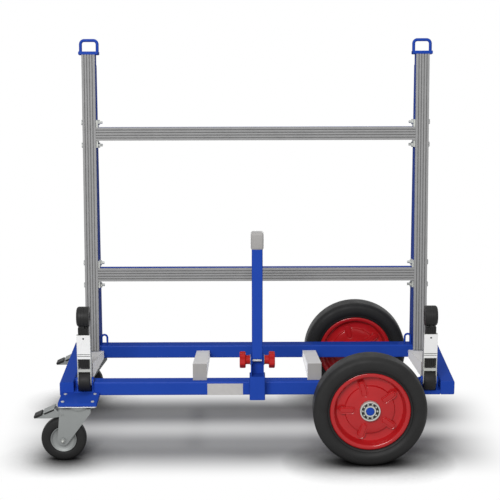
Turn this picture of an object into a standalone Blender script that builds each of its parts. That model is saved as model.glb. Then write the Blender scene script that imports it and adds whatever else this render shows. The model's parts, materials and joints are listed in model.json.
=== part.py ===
"""Slab buggy: a wheeled A-frame for carrying stone slabs on edge.

Frame: X along the buggy, Y away from the loading side, Z up from the floor, metres.
A welded base stands on two large fixed wheels and two braked swivel castors. Two leaning
uprights and two bolted crossbars, all faced with ribbed rubber, hold the slabs. Four
sloping bars carry their lower edge, a hinged post keeps them in, and a folding arm with
two rollers stands at each front corner.
"""

import math

import bmesh
import bpy
from mathutils import Matrix, Vector

# Clearances and joints between pieces
seat_gap = 0.0003
weld_depth = 0.001
cut_overrun = 0.010
merge_distance = 0.00001

# Base frame
tube_size = 0.050
tube_wall = 0.003
tube_corner = 0.004
drain_radius = 0.005
frame_length = 1.410
frame_depth = 0.480
wheel_radius = 0.200
axle_radius = 0.015

frame_bottom = wheel_radius + axle_radius + seat_gap
frame_top = frame_bottom + tube_size
half_length = frame_length / 2
half_depth = frame_depth / 2
beam_inner_x = half_length - tube_size
rail_half_length = beam_inner_x - seat_gap
front_rail_y = -half_depth + tube_size / 2
rear_rail_y = half_depth - tube_size / 2

# Large wheels
wheel_inset = 0.312
wheel_clearance = 0.056
tyre_width = 0.094
tread_width = 0.052
tyre_bead_width = 0.072
rim_radius = 0.142
rim_width = 0.066
rim_lip = 0.006
rim_channel_depth = 0.019
rim_step_radius = 0.087
rim_step_height = 0.007
rim_web_width = 0.024
hub_radius = 0.0375
hub_width = 0.062
hub_chamfer = 0.002
axle_end_past_hub = 0.001

wheel_x = half_length - wheel_inset
wheel_y = half_depth + wheel_clearance + tyre_width / 2

# Uprights, their facings and the rear braces
lean_angle = math.radians(7.0)
upright_setback = 0.020
upright_length = 1.126
upright_outer_x = beam_inner_x
facing_thickness = 0.010
rib_count = 5
rib_height = 0.003
groove_share = 0.34
brace_foot_depth = 0.050
brace_tip_depth = 0.008
brace_top_z = 1.330
brace_hollow_share = 0.8

upright_foot_y = rear_rail_y - upright_setback
upright_x = upright_outer_x - tube_size / 2
upright_inner_x = upright_outer_x - tube_size

# Loop handles on the uprights
handle_bar_radius = 0.006
handle_rise = 0.047
handle_foot = 0.012
handle_bend = 0.014

# Crossbars with bolted flanges
lower_crossbar_z = 0.5435
upper_crossbar_z = 1.077
flange_thickness = 0.006
flange_height = 0.104
bolt_spacing = 0.086
bolt_radius = 0.005
bolt_head_width = 0.017
bolt_head_height = 0.007
bolt_thread_past_nut = 0.009
bolt_hole_radius = bolt_radius + seat_gap

# Support bars under the slabs
support_inset = 0.090
support_width = 0.050
support_front_height = 0.0617
support_rear_height = 0.030
support_drop = 0.020
support_setback = 0.018
outer_support_setback = 0.0503

# Hooks on the rear rail
hook_bar_radius = 0.004
hook_width = 0.022
hook_height = 0.041
hook_inset = 0.041

hook_x = upright_x - hook_inset

# Post socket, bracket, post and cap
socket_width = 0.055
socket_depth = 0.054
socket_height = 0.086
socket_lid = 0.005
post_size = 0.038
post_wall = 0.003
post_top_z = 0.815
post_below_rod = 0.010
post_front_cut = 0.018
bracket_wall = 0.0035
bracket_side_gap = 0.0005
channel_inset = 0.001
bracket_height = 0.074
rod_height = 0.055
rod_radius = 0.0055
cap_height = 0.069
cap_wall = 0.003
cap_crown = 0.010
cap_edge_round = 0.006

# Star knobs
knob_neck_radius = 0.016
knob_neck_length = 0.017
knob_head_radius = 0.0315
knob_head_length = 0.022
knob_lobes = 5
knob_lobe_depth = 0.007
knob_edge_round = 0.003

# Folding roller arms
arm_inset = 0.091
arm_pin_setback = 0.004
arm_pin_rise = 0.0047
arm_plate_thickness = 0.003
arm_plate_depth = 0.034
arm_pin_radius = 0.006
arm_cover_bottom = 0.086
arm_tie_bottom = 0.038
arm_tie_height = 0.010
arm_bar_width = 0.037
arm_bar_depth = 0.022
arm_bar_bottom = 0.052
arm_bar_past_cover = 0.025
arm_bar_ribs = 5
top_roller_height = 0.238
top_roller_radius = 0.036
top_roller_width = 0.044
top_roller_core = 0.010
top_roller_slot = 0.009
top_roller_tongue_wall = 0.0065
bottom_roller_radius = 0.0365
bottom_roller_width = 0.041
roller_edge_round = 0.004
side_clearance = 0.0005
lug_thickness = 0.006
lug_head_radius = 0.014
top_roller_clearance = 0.003
pocket_floor = 0.015

arm_x = half_length - arm_inset
arm_pin_y = -half_depth + arm_pin_setback
arm_pin_z = frame_top + arm_pin_rise
arm_bar_top = top_roller_height - top_roller_radius - top_roller_clearance
arm_cover_top = arm_bar_top - arm_bar_past_cover

# Castors
castor_inset = 0.075
castor_reach = 0.060
mount_plate_length = 0.136
mount_plate_margin = 0.0025
mount_plate_thickness = 0.012
castor_plate_length = 0.134
castor_plate_width = 0.106
castor_plate_thickness = 0.005
castor_bolt_length = 0.105
castor_bolt_width = 0.080
castor_bolt_radius = 0.005
castor_bolt_head = 0.017
castor_bolt_head_height = 0.006
race_radius = 0.040
race_height = 0.014
castor_wheel_radius = 0.080
castor_tyre_width = 0.040
castor_hub_radius = 0.046
castor_hub_width = 0.044
castor_trail = 0.057
fork_thickness = 0.004
fork_gap = 0.002
fork_front_reach = 0.043
fork_back_reach = 0.066
fork_end_radius = 0.020
castor_axle_radius = 0.006
castor_nut_width = 0.019
castor_nut_height = 0.006
pedal_pivot_reach = 0.056
pedal_pivot_drop = 0.021
pedal_pivot_radius = 0.004
pedal_eye_radius = 0.009
pedal_tip_reach = 0.160
pedal_tip_height = 0.158
pedal_tip_thickness = 0.008
pedal_edge_round = 0.003
pedal_ridge_reach = 0.083
pedal_ridge_height = 0.201
pedal_width = 0.044

castor_x = castor_inset - half_length
castor_y = half_depth + castor_reach
mount_plate_reach = castor_reach + castor_plate_width / 2 + mount_plate_margin

# Facets round a full turn
fine_steps = 32
castor_steps = 20
medium_steps = 18
small_steps = 12
fastener_steps = 8
corner_steps = 2


# Scene, collections and materials

def clear_scene():
    """Remove every object of the open scene."""
    for old in list(bpy.data.objects):
        bpy.data.objects.remove(old, do_unlink=True)


clear_scene()
collection = bpy.data.collections.new("slab_buggy")
bpy.context.scene.collection.children.link(collection)


def material(name, colour, roughness, metallic=0.0):
    """A Principled BSDF material of one colour."""
    made = bpy.data.materials.new(name)
    made.use_nodes = True
    shader = made.node_tree.nodes["Principled BSDF"]
    shader.inputs["Base Color"].default_value = (*colour, 1.0)
    shader.inputs["Roughness"].default_value = roughness
    shader.inputs["Metallic"].default_value = metallic
    made.diffuse_color = (*colour, 1.0)
    return made


blue_paint = material("blue_paint", (0.02, 0.07, 0.38), 0.38)
red_paint = material("red_paint", (0.45, 0.02, 0.025), 0.35)
red_plastic = material("red_plastic", (0.6, 0.03, 0.03), 0.4)
grey_rubber = material("grey_rubber", (0.32, 0.32, 0.32), 0.75)
pale_rubber = material("pale_rubber", (0.48, 0.47, 0.45), 0.6)
black_rubber = material("black_rubber", (0.022, 0.022, 0.022), 0.6)
zinc = material("zinc", (0.6, 0.61, 0.62), 0.35, 0.9)
bright_zinc = material("bright_zinc", (0.82, 0.83, 0.84), 0.3, 0.8)


# Shared modelling operations

def empty(name, location, rotation=(0.0, 0.0, 0.0), parent=None):
    """A guide that carries other objects; it has no surface of its own."""
    made = bpy.data.objects.new(name, None)
    collection.objects.link(made)
    made.parent = parent
    made.location = location
    made.rotation_euler = rotation
    return made


def finish(mesh):
    """Weld coincident points, turn the faces outwards and shade the round sides smooth."""
    editing = bmesh.new()
    editing.from_mesh(mesh)
    bmesh.ops.remove_doubles(editing, verts=editing.verts, dist=merge_distance)
    bmesh.ops.dissolve_degenerate(editing, edges=editing.edges, dist=merge_distance)
    bmesh.ops.recalc_face_normals(editing, faces=editing.faces)
    editing.to_mesh(mesh)
    editing.free()
    mesh.shade_smooth()
    mesh.set_sharp_from_angle(angle=math.radians(35))


def add(name, mesh, look, parent=None, location=(0.0, 0.0, 0.0)):
    """Link a mesh as a named object with its material."""
    mesh.name = name
    made = bpy.data.objects.new(name, mesh)
    collection.objects.link(made)
    made.parent = parent
    made.location = location
    mesh.materials.clear()
    mesh.materials.append(look)
    return made


def evaluated_mesh(thing):
    """The mesh that an object shows with its modifiers or its curve settings."""
    graph = bpy.context.evaluated_depsgraph_get()
    graph.update()
    return bpy.data.meshes.new_from_object(thing.evaluated_get(graph))


def block(size, centre=(0.0, 0.0, 0.0), edge=0.0):
    """A box from its three sizes, with rounded edges where edge is above zero."""
    mesh = bpy.data.meshes.new("block")
    editing = bmesh.new()
    bmesh.ops.create_cube(editing, size=1.0)
    bmesh.ops.scale(editing, vec=Vector(size), verts=editing.verts)
    if edge > 0:
        bmesh.ops.bevel(
            editing, geom=editing.edges[:], offset=edge, segments=2, affect="EDGES", profile=0.5
        )
    bmesh.ops.translate(editing, vec=Vector(centre), verts=editing.verts)
    editing.to_mesh(mesh)
    editing.free()
    finish(mesh)
    return mesh


# Each axis word turns local Z to that axis: outlines lie in YZ for X and in XZ for Y
axis_turns = {
    "X": Matrix(((0, 0, 1), (1, 0, 0), (0, 1, 0))).to_4x4(),
    "Y": Matrix(((1, 0, 0), (0, 0, -1), (0, 1, 0))).to_4x4(),
    "Z": Matrix.Identity(4),
}


def cylinder(radius, length, centre=(0.0, 0.0, 0.0), axis="Z", steps=small_steps):
    """A cylinder about a line through its centre along one axis."""
    mesh = bpy.data.meshes.new("cylinder")
    editing = bmesh.new()
    bmesh.ops.create_cone(
        editing, cap_ends=True, segments=steps, radius1=radius, radius2=radius, depth=length
    )
    bmesh.ops.transform(editing, matrix=axis_turns[axis], verts=editing.verts)
    bmesh.ops.translate(editing, vec=Vector(centre), verts=editing.verts)
    editing.to_mesh(mesh)
    editing.free()
    finish(mesh)
    return mesh


def rounded(points, radius, steps=corner_steps):
    """An outline with each corner replaced by an arc of the given radius."""
    made = []
    count = len(points)
    for i, corner in enumerate(points):
        corner = Vector(corner)
        back = (Vector(points[i - 1]) - corner).normalized()
        ahead = (Vector(points[(i + 1) % count]) - corner).normalized()
        half = back.angle(ahead) / 2
        reach = radius / math.tan(half)
        centre = corner + (back + ahead).normalized() * (radius / math.sin(half))
        start = corner + back * reach - centre
        turn = math.pi - 2 * half
        side = 1 if back.cross(ahead) < 0 else -1
        for k in range(steps + 1):
            angle = side * turn * k / steps
            made.append(
                (
                    centre.x + start.x * math.cos(angle) - start.y * math.sin(angle),
                    centre.y + start.x * math.sin(angle) + start.y * math.cos(angle),
                )
            )
    return made


def rectangle(width, height):
    """The four corners of a rectangle about the origin, anticlockwise."""
    x, y = width / 2, height / 2
    return [(-x, -y), (x, -y), (x, y), (-x, y)]


def circle(radius, steps, centre=(0.0, 0.0)):
    """The points of a circle, anticlockwise."""
    return [
        (
            centre[0] + radius * math.cos(2 * math.pi * k / steps),
            centre[1] + radius * math.sin(2 * math.pi * k / steps),
        )
        for k in range(steps)
    ]


def plate(outlines, thickness, axis="Z", centre=(0.0, 0.0, 0.0)):
    """A flat piece: filled outlines, the first outside and any others holes, extruded."""
    curve = bpy.data.curves.new("outline", "CURVE")
    curve.dimensions = "2D"
    curve.fill_mode = "BOTH"
    curve.extrude = thickness / 2
    for points in outlines:
        spline = curve.splines.new("POLY")
        spline.points.add(len(points) - 1)
        for point, place in zip(spline.points, points):
            point.co = (place[0], place[1], 0.0, 1.0)
        spline.use_cyclic_u = True
    guide = bpy.data.objects.new("outline", curve)
    collection.objects.link(guide)
    mesh = evaluated_mesh(guide)
    bpy.data.objects.remove(guide, do_unlink=True)
    mesh.transform(Matrix.Translation(centre) @ axis_turns[axis])
    finish(mesh)
    return mesh


def turned(profile, axis="Z", steps=fine_steps, centre=(0.0, 0.0, 0.0)):
    """A ring turned from a closed profile of (radius, place) points, with a flat underneath."""
    mesh = bpy.data.meshes.new("profile")
    count = len(profile)
    points = [(radius, 0.0, place) for radius, place in profile]
    edges = [(i, (i + 1) % count) for i in range(count)]
    mesh.from_pydata(points, edges, [])
    guide = bpy.data.objects.new("profile", mesh)
    collection.objects.link(guide)
    screw = guide.modifiers.new("turn", "SCREW")
    screw.axis = "Z"
    screw.angle = 2 * math.pi
    screw.steps = steps
    screw.render_steps = steps
    screw.use_merge_vertices = True
    screw.merge_threshold = merge_distance
    made = evaluated_mesh(guide)
    bpy.data.objects.remove(guide, do_unlink=True)
    half_step = Matrix.Rotation(math.pi / steps, 4, "Z")
    made.transform(Matrix.Translation(centre) @ axis_turns[axis] @ half_step)
    finish(made)
    return made


def rod(points, radius, resolution=1):
    """A round bar along a line of points, with closed ends."""
    curve = bpy.data.curves.new("rod", "CURVE")
    curve.dimensions = "3D"
    curve.bevel_depth = radius
    curve.bevel_resolution = resolution
    curve.use_fill_caps = True
    spline = curve.splines.new("POLY")
    spline.points.add(len(points) - 1)
    for point, place in zip(spline.points, points):
        point.co = (*place, 1.0)
    guide = bpy.data.objects.new("rod", curve)
    collection.objects.link(guide)
    mesh = evaluated_mesh(guide)
    bpy.data.objects.remove(guide, do_unlink=True)
    finish(mesh)
    return mesh


def combined(base, others, operation):
    """Join the other meshes to the base one, or cut them from it."""
    target = bpy.data.objects.new("target", base)
    collection.objects.link(target)
    tools = []
    for other in others:
        tool = bpy.data.objects.new("tool", other)
        collection.objects.link(tool)
        tools.append(tool)
        step = target.modifiers.new("step", "BOOLEAN")
        step.operation = operation
        step.solver = "EXACT"
        step.object = tool
    made = evaluated_mesh(target)
    for thing in (target, *tools):
        bpy.data.objects.remove(thing, do_unlink=True)
    finish(made)
    return made


def united(base, *others):
    """One solid from overlapping shapes."""
    return combined(base, others, "UNION")


def cut(base, *others):
    """The base shape without the others."""
    return combined(base, others, "DIFFERENCE")


def box_tube(width, height, wall, length, axis, centre=(0.0, 0.0, 0.0)):
    """A hollow square tube with rounded outer corners along one axis."""
    outer = rounded(rectangle(width, height), tube_corner)
    inner = rectangle(width - 2 * wall, height - 2 * wall)
    return plate([outer, inner], length, axis, centre)


def hexagon_head(width, height, axis, centre):
    """A bolt head or nut: six flats of the given width across them."""
    return cylinder(width / math.sqrt(3), height, centre, axis, 6)


# Base frame

def closed_tube(length, axis, centre, drain_places):
    """A square tube capped at both ends, with drain holes underneath along its axis."""
    outline = rounded(rectangle(tube_size, tube_size), tube_corner)
    solid = plate([outline], length, axis, centre)
    inside = tube_size - 2 * tube_wall
    hollow_length = length - 2 * tube_wall
    along = {"X": (hollow_length, inside, inside), "Y": (inside, hollow_length, inside)}[axis]
    drains = []
    for place in drain_places:
        offset = (place, 0.0) if axis == "X" else (0.0, place)
        drains.append(
            cylinder(
                drain_radius, 2 * cut_overrun,
                (centre[0] + offset[0], centre[1] + offset[1], frame_bottom), "Z", fastener_steps,
            )
        )
    return cut(solid, block(along, centre), *drains)


def corner_inner_x():
    """How far out the front rail ends and the pocket of an arm's lower roller begins."""
    return arm_x - arm_half_width() - side_clearance - lug_thickness - weld_depth


def front_rail(root):
    """The front tube between the two pockets of the arms' lower rollers."""
    half = corner_inner_x() - seat_gap
    centre = (0.0, front_rail_y, frame_bottom + tube_size / 2)
    solid = closed_tube(2 * half, "X", centre, (tube_size - half, half - tube_size))
    add("front_rail", solid, blue_paint, root)


def pocket(side, bottom_z):
    """The pocket at one front corner: a floor and a back wall in one, with two lugs."""
    front_y = seat_gap - half_depth
    back_y = tube_size - half_depth
    floor_z = frame_bottom + pocket_floor
    outline = [
        (front_y, bottom_z), (back_y, bottom_z), (back_y, frame_top),
        (back_y - tube_wall, frame_top), (back_y - tube_wall, floor_z), (front_y, floor_z),
    ]
    middle_x = side * (corner_inner_x() + rail_half_length) / 2
    solid = plate([outline], rail_half_length - corner_inner_x(), "X", (middle_x, 0.0, 0.0))
    return united(solid, *[lug(side * reach) for reach in lug_places()])


def pin_hole(side):
    """The hole for an arm's pin through the two lugs of a corner."""
    pin_reach = arm_half_width() + side_clearance + lug_thickness
    return cylinder(
        arm_pin_radius + seat_gap, 2 * (pin_reach + seat_gap),
        (side * arm_x, arm_pin_y, arm_pin_z), "X",
    )


def right_corner(root):
    """The pocket at the right corner, welded between the front rail and the end beam."""
    solid = cut(pocket(1, frame_bottom), pin_hole(1))
    add("right_corner_pocket", solid, blue_paint, root)


def arm_half_width():
    """Half the width of an arm over its side plates."""
    return bottom_roller_width / 2 + side_clearance + arm_plate_thickness


def lug_places():
    """The two distances from the middle at which a corner's lugs stand."""
    reach = arm_half_width() + side_clearance + lug_thickness / 2
    return (arm_x - reach, arm_x + reach)


def lug(x):
    """One lug: a plate from the pocket's back wall to a round head about the arm's pin."""
    back_y = -half_depth + tube_size - tube_wall + weld_depth
    base_z = frame_bottom + pocket_floor - weld_depth
    front_y = -half_depth + weld_depth
    slope_z = (frame_bottom + frame_top) / 2
    outline = [
        (front_y, base_z),
        (back_y, base_z),
        (back_y, slope_z),
    ]
    for k in range(small_steps // 2 + 1):
        angle = math.pi / 4 + math.pi * k / (small_steps // 2)
        outline.append(
            (
                arm_pin_y + lug_head_radius * math.cos(angle),
                arm_pin_z + lug_head_radius * math.sin(angle),
            )
        )
    outline.append((front_y, slope_z))
    return plate([outline], lug_thickness, "X", (x, 0.0, 0.0))


def rear_rail(root):
    """The rear tube between the end beams."""
    solid = box_tube(
        tube_size, tube_size, tube_wall, 2 * rail_half_length, "X",
        (0.0, rear_rail_y, frame_bottom + tube_size / 2),
    )
    return add("rear_rail", solid, blue_paint, root)


def end_beams(root):
    """The two end tubes that run front to back."""
    for name, side in (("left_end_beam", -1), ("right_end_beam", 1)):
        centre = (side * (half_length - tube_size / 2), 0.0, frame_bottom + tube_size / 2)
        solid = closed_tube(
            frame_depth, "Y", centre, (tube_size - half_depth, half_depth - tube_size)
        )
        add(name, solid, blue_paint, root)


def axle(root):
    """The through axle of the large wheels, welded under both rails."""
    reach = wheel_y + hub_width / 2 + axle_end_past_hub
    solid = cylinder(axle_radius, 2 * reach, (wheel_x, 0.0, wheel_radius), "Y", medium_steps)
    add("wheel_axle", solid, blue_paint, root)


def mount_plate_outline(centre_y, with_neck):
    """A castor's plate from above, with a neck that runs in under the left pocket if asked."""
    outline = rounded(rectangle(mount_plate_length, mount_plate_reach), tube_corner)
    if with_neck:
        neck_outer_x = weld_depth - rail_half_length - castor_x
        neck_inner_x = -corner_inner_x() - weld_depth - castor_x
        near_y = mount_plate_reach / 2
        neck_y = tube_size - weld_depth - half_depth - centre_y
        back_edge = 3 * (corner_steps + 1)
        outline[back_edge:back_edge] = [
            (neck_inner_x, near_y), (neck_inner_x, neck_y),
            (neck_outer_x, neck_y), (neck_outer_x, near_y),
        ]
    return outline


def castor_mount_plates(root):
    """The castors' plates, the front one made in one piece with the left corner's pocket."""
    centre_z = frame_bottom + mount_plate_thickness / 2
    near = half_depth + seat_gap
    for name, side in (("front_castor_plate", -1), ("rear_castor_plate", 1)):
        centre_y = side * (near + mount_plate_reach / 2)
        solid = plate(
            [mount_plate_outline(centre_y, side < 0)], mount_plate_thickness, "Z",
            (castor_x, centre_y, centre_z),
        )
        holes = [
            cylinder(
                castor_bolt_radius + seat_gap,
                mount_plate_thickness + 2 * cut_overrun,
                (castor_x + dx, side * castor_y + dy, centre_z), "Z", fastener_steps,
            )
            for dx, dy in castor_bolt_places()
        ]
        if side < 0:
            solid = united(solid, pocket(side, frame_bottom + weld_depth))
            holes.append(pin_hole(side))
        add(name, cut(solid, *holes), blue_paint, root)


def castor_bolt_places():
    """The four bolts of a castor plate about its swivel axis."""
    return [
        (side_x * castor_bolt_length / 2, side_y * castor_bolt_width / 2)
        for side_x in (-1, 1)
        for side_y in (-1, 1)
    ]


# Uprights, braces and crossbars

def crossbar_places():
    """The crossbars' middles, measured along the leaning uprights."""
    return [
        (height - frame_top) / math.cos(lean_angle)
        for height in (lower_crossbar_z, upper_crossbar_z)
    ]


def bolt_places():
    """The bolts through an upright, measured along it."""
    return [
        place + side * bolt_spacing / 2
        for place in crossbar_places()
        for side in (-1, 1)
    ]


def handle_mesh():
    """A loop of round bar over the top of an upright, with a foot down each side."""
    reach = tube_size / 2 + handle_bar_radius + seat_gap
    top = upright_length + handle_rise
    corner = [
        (reach, upright_length - handle_foot),
        (reach, top - handle_bend),
    ]
    for k in range(1, corner_steps + 2):
        angle = math.pi / 2 * k / (corner_steps + 1)
        corner.append(
            (
                reach - handle_bend + handle_bend * math.cos(angle),
                top - handle_bend + handle_bend * math.sin(angle),
            )
        )
    points = [(x, 0.0, z) for x, z in corner]
    points += [(-x, 0.0, z) for x, z in reversed(corner)]
    return rod(points, handle_bar_radius)


def uprights(lean):
    """The two leaning tubes, cut level at the foot, capped above and drilled for the bolts."""
    foot = tube_size * math.sin(lean_angle)
    inside = tube_size - 2 * tube_wall
    for name, side in (("left_upright", -1), ("right_upright", 1)):
        solid = plate(
            [rounded(rectangle(tube_size, tube_size), tube_corner)],
            upright_length + foot, "Z", (0.0, 0.0, (upright_length - foot) / 2),
        )
        hollow_length = upright_length - tube_wall + foot + cut_overrun
        hollow = block(
            (inside, inside, hollow_length),
            (0.0, 0.0, upright_length - tube_wall - hollow_length / 2),
        )
        level = block(
            (2 * tube_size, 2 * tube_size, tube_size),
            (0.0, 0.0, seat_gap - tube_size / 2),
        )
        level.transform(Matrix.Rotation(lean_angle, 4, "X"))
        holes = [
            cylinder(
                bolt_hole_radius, tube_size + 2 * cut_overrun, (0.0, 0.0, place), "X",
                fastener_steps,
            )
            for place in bolt_places()
        ]
        place = (side * upright_x, 0.0, 0.0)
        add(name, cut(solid, hollow, level, *holes), blue_paint, lean, place)


def handles(lean):
    """The loop handles welded over the tops of the uprights."""
    for name, side in (("left_handle", -1), ("right_handle", 1)):
        add(name, handle_mesh(), blue_paint, lean, (side * upright_x, 0.0, 0.0))


def ribbed_outline(width, thickness, ribs, height):
    """A strip's section: flat at the back, evenly spaced ribs in front (towards -Y)."""
    front = -thickness
    pitch = width / ribs
    groove = pitch * groove_share
    points = [(-width / 2, 0.0), (-width / 2, front)]
    for k in range(1, ribs):
        middle = -width / 2 + k * pitch
        points += [
            (middle - groove / 2, front),
            (middle - groove / 4, front + height),
            (middle + groove / 4, front + height),
            (middle + groove / 2, front),
        ]
    points += [(width / 2, front), (width / 2, 0.0)]
    return points


def facings(lean):
    """The ribbed rubber strips on the uprights and the crossbars."""
    section = ribbed_outline(tube_size, facing_thickness, rib_count, rib_height)
    back_y = -tube_size / 2 - seat_gap
    for name, side in (("left_upright_facing", -1), ("right_upright_facing", 1)):
        solid = plate([section], upright_length, "Z", (0.0, 0.0, upright_length / 2))
        add(name, solid, grey_rubber, lean, (side * upright_x, back_y, 0.0))
    for name, place in zip(("lower_crossbar_facing", "upper_crossbar_facing"), crossbar_places()):
        solid = plate([section], 2 * (upright_inner_x - seat_gap), "Z")
        solid.transform(Matrix.Rotation(math.pi / 2, 4, "Y"))
        add(name, solid, grey_rubber, lean, (0.0, back_y, place))


def crossbars(lean):
    """The two tubes between the uprights, short of their flanges."""
    length = 2 * (upright_inner_x - flange_thickness - 2 * seat_gap)
    for name, place in zip(("lower_crossbar", "upper_crossbar"), crossbar_places()):
        solid = box_tube(tube_size, tube_size, tube_wall, length, "X")
        add(name, solid, blue_paint, lean, (0.0, 0.0, place))


def flange(side):
    """An end flange with its two bolts, whose heads lie outside the upright."""
    solid = block((flange_thickness, tube_size, flange_height))
    parts = []
    outer_face = -flange_thickness / 2 - seat_gap - tube_size - seat_gap
    for row in (-1, 1):
        place = row * bolt_spacing / 2
        inner_end = flange_thickness / 2 + bolt_head_height + bolt_thread_past_nut
        shank_start = outer_face - bolt_head_height / 2
        length = inner_end - shank_start
        parts.append(
            cylinder(
                bolt_radius, length, (shank_start + length / 2, 0.0, place), "X", fastener_steps
            )
        )
        parts.append(
            hexagon_head(
                bolt_head_width, bolt_head_height, "X",
                (outer_face - bolt_head_height / 2, 0.0, place),
            )
        )
        parts.append(
            hexagon_head(
                bolt_head_width, bolt_head_height, "X",
                (flange_thickness / 2 + bolt_head_height / 2 - weld_depth, 0.0, place),
            )
        )
    solid = united(solid, *parts)
    if side > 0:
        solid.transform(Matrix.Rotation(math.pi, 4, "Z"))
    return solid


def flanges(lean):
    """The four flanges on the uprights' inner faces."""
    reach = upright_inner_x - seat_gap - flange_thickness / 2
    for level, place in zip(("lower", "upper"), crossbar_places()):
        for word, side in (("left", -1), ("right", 1)):
            add(
                f"{level}_{word}_flange", flange(side), zinc, lean,
                (side * reach, 0.0, place),
            )


def upright_back(z):
    """How far back an upright's rear face lies at a height, with the gap of its weld."""
    back_offset = tube_size / 2 / math.cos(lean_angle) + seat_gap
    return upright_foot_y + (z - frame_top) * math.tan(lean_angle) + back_offset


def brace_foot_z():
    """The underside of a brace, level with the top of the castors' plates."""
    return frame_bottom + mount_plate_thickness + seat_gap


def brace_outline():
    """A rear brace from the side: behind the leaning tube, from its foot to near its top."""
    shelf_z = frame_top + seat_gap
    foot_z = brace_foot_z()
    rail_back_y = half_depth + seat_gap
    return [
        (upright_back(shelf_z), shelf_z),
        (rail_back_y, shelf_z),
        (rail_back_y, foot_z),
        (rail_back_y + brace_foot_depth, foot_z),
        (upright_back(brace_top_z) + brace_tip_depth, brace_top_z),
        (upright_back(brace_top_z), brace_top_z),
    ]


def brace_hollow():
    """The space inside a brace, which ends where the brace gets thin."""
    foot_z = brace_foot_z() + tube_wall
    front_y = half_depth + seat_gap + tube_wall
    back_foot_y = half_depth + seat_gap + brace_foot_depth - tube_wall
    tip_z = foot_z + (brace_top_z - foot_z) * brace_hollow_share
    shoulder_z = frame_top + tube_size
    tip_back_y = upright_back(brace_top_z) + brace_tip_depth - tube_wall
    return [
        (front_y, foot_z),
        (back_foot_y, foot_z),
        (back_foot_y + (tip_back_y - back_foot_y) * brace_hollow_share, tip_z),
        (upright_back(tip_z) + tube_wall, tip_z),
        (max(front_y, upright_back(shoulder_z) + tube_wall), shoulder_z),
    ]


def braces(root):
    """The tapered box braces that tie the uprights to the back of the base."""
    back_y = half_depth + seat_gap + brace_foot_depth
    for name, side in (("left_rear_brace", -1), ("right_rear_brace", 1)):
        solid = plate([brace_outline()], tube_size, "X")
        hollow = plate([brace_hollow()], tube_size - 2 * tube_wall, "X")
        drain = cylinder(
            drain_radius, 2 * cut_overrun,
            (0.0, back_y, brace_foot_z() + tube_wall + drain_radius), "Y", fastener_steps,
        )
        add(name, cut(solid, hollow, drain), blue_paint, root, (side * upright_x, 0.0, 0.0))


# Supports and hooks

def support_outline(front_y):
    """A support bar from the side: level on the front rail, then sloping to the rear one."""
    rail_back_y = -half_depth + tube_size
    rear_y = half_depth - tube_size - seat_gap
    seat_z = frame_top + seat_gap
    full_front_y = -half_depth + support_setback
    top_front_z = seat_z + support_front_height
    top_rear_z = frame_top - support_drop
    slope = (top_front_z - top_rear_z) / (rear_y - full_front_y)
    return [
        (front_y, seat_z),
        (rail_back_y + seat_gap, seat_z),
        (rear_y, top_rear_z - support_rear_height),
        (rear_y, top_rear_z),
        (front_y, top_front_z - slope * (front_y - full_front_y)),
    ]


def supports(root):
    """The four bars that the slabs stand on."""
    names = (
        "left_outer_support", "left_inner_support", "right_inner_support", "right_outer_support",
    )
    end_x = half_length - support_inset
    last = len(names) - 1
    for index, name in enumerate(names):
        x = end_x * (2 * index / last - 1)
        setback = outer_support_setback if index in (0, last) else support_setback
        solid = plate([support_outline(setback - half_depth)], support_width, "X")
        add(name, solid, pale_rubber, root, (x, 0.0, 0.0))


def hooks(root):
    """The bent eyes on top of the rear rail."""
    half = hook_width / 2
    foot_z = frame_top + seat_gap
    arc = [
        (half * math.cos(math.pi * k / 8), half * math.sin(math.pi * k / 8))
        for k in range(9)
    ]
    rise = hook_height - half - hook_bar_radius
    points = [(half, 0.0, 0.0)]
    points += [(x, 0.0, rise + z) for x, z in arc]
    points += [(-half, 0.0, 0.0)]
    for name, side in (("left_hook", -1), ("right_hook", 1)):
        place = (side * hook_x, rear_rail_y, foot_z)
        add(name, rod(points, hook_bar_radius), blue_paint, root, place)


# Post, its socket and clamp

def post_y():
    """The middle of the socket and the post, front to back."""
    return -half_depth - seat_gap - socket_depth / 2


def socket_top():
    """The socket's upper rim."""
    return frame_bottom + socket_height


def rod_z():
    """The height of the clamp rod."""
    return socket_top() + seat_gap + rod_height


def bracket_half_width():
    """Half the width of the bracket over its cheeks."""
    return post_size / 2 + bracket_side_gap + bracket_wall


def bracket(root):
    """The closed box on the front rail, drained below, and the post's channel on its lid."""
    outline = rounded(rectangle(socket_width, socket_depth), tube_corner)
    box = plate(
        [outline], socket_height, "Z", (0.0, post_y(), frame_bottom + socket_height / 2)
    )
    hollow_bottom = frame_bottom + tube_wall
    hollow_height = socket_top() - socket_lid - hollow_bottom
    hollow = block(
        (socket_width - 2 * tube_wall, socket_depth - 2 * tube_wall, hollow_height),
        (0.0, post_y(), hollow_bottom + hollow_height / 2),
    )
    drain = cylinder(
        drain_radius, 2 * cut_overrun, (0.0, post_y(), frame_bottom), "Z", fastener_steps
    )
    half_x = bracket_half_width()
    inner_x = half_x - bracket_wall
    front_y = channel_inset - socket_depth / 2
    back_y = socket_depth / 2 - channel_inset
    channel_outline = [
        (-half_x, front_y), (-inner_x, front_y), (-inner_x, back_y - bracket_wall),
        (inner_x, back_y - bracket_wall), (inner_x, front_y), (half_x, front_y),
        (half_x, back_y), (-half_x, back_y),
    ]
    bottom_z = socket_top() - weld_depth
    height = bracket_height + weld_depth
    channel = plate([channel_outline], height, "Z", (0.0, post_y(), bottom_z + height / 2))
    hole = cylinder(
        rod_radius + seat_gap, 2 * (half_x + cut_overrun), (0.0, post_y(), rod_z()), "X"
    )
    add("post_bracket", cut(united(box, channel), hollow, drain, hole), blue_paint, root)


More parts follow.
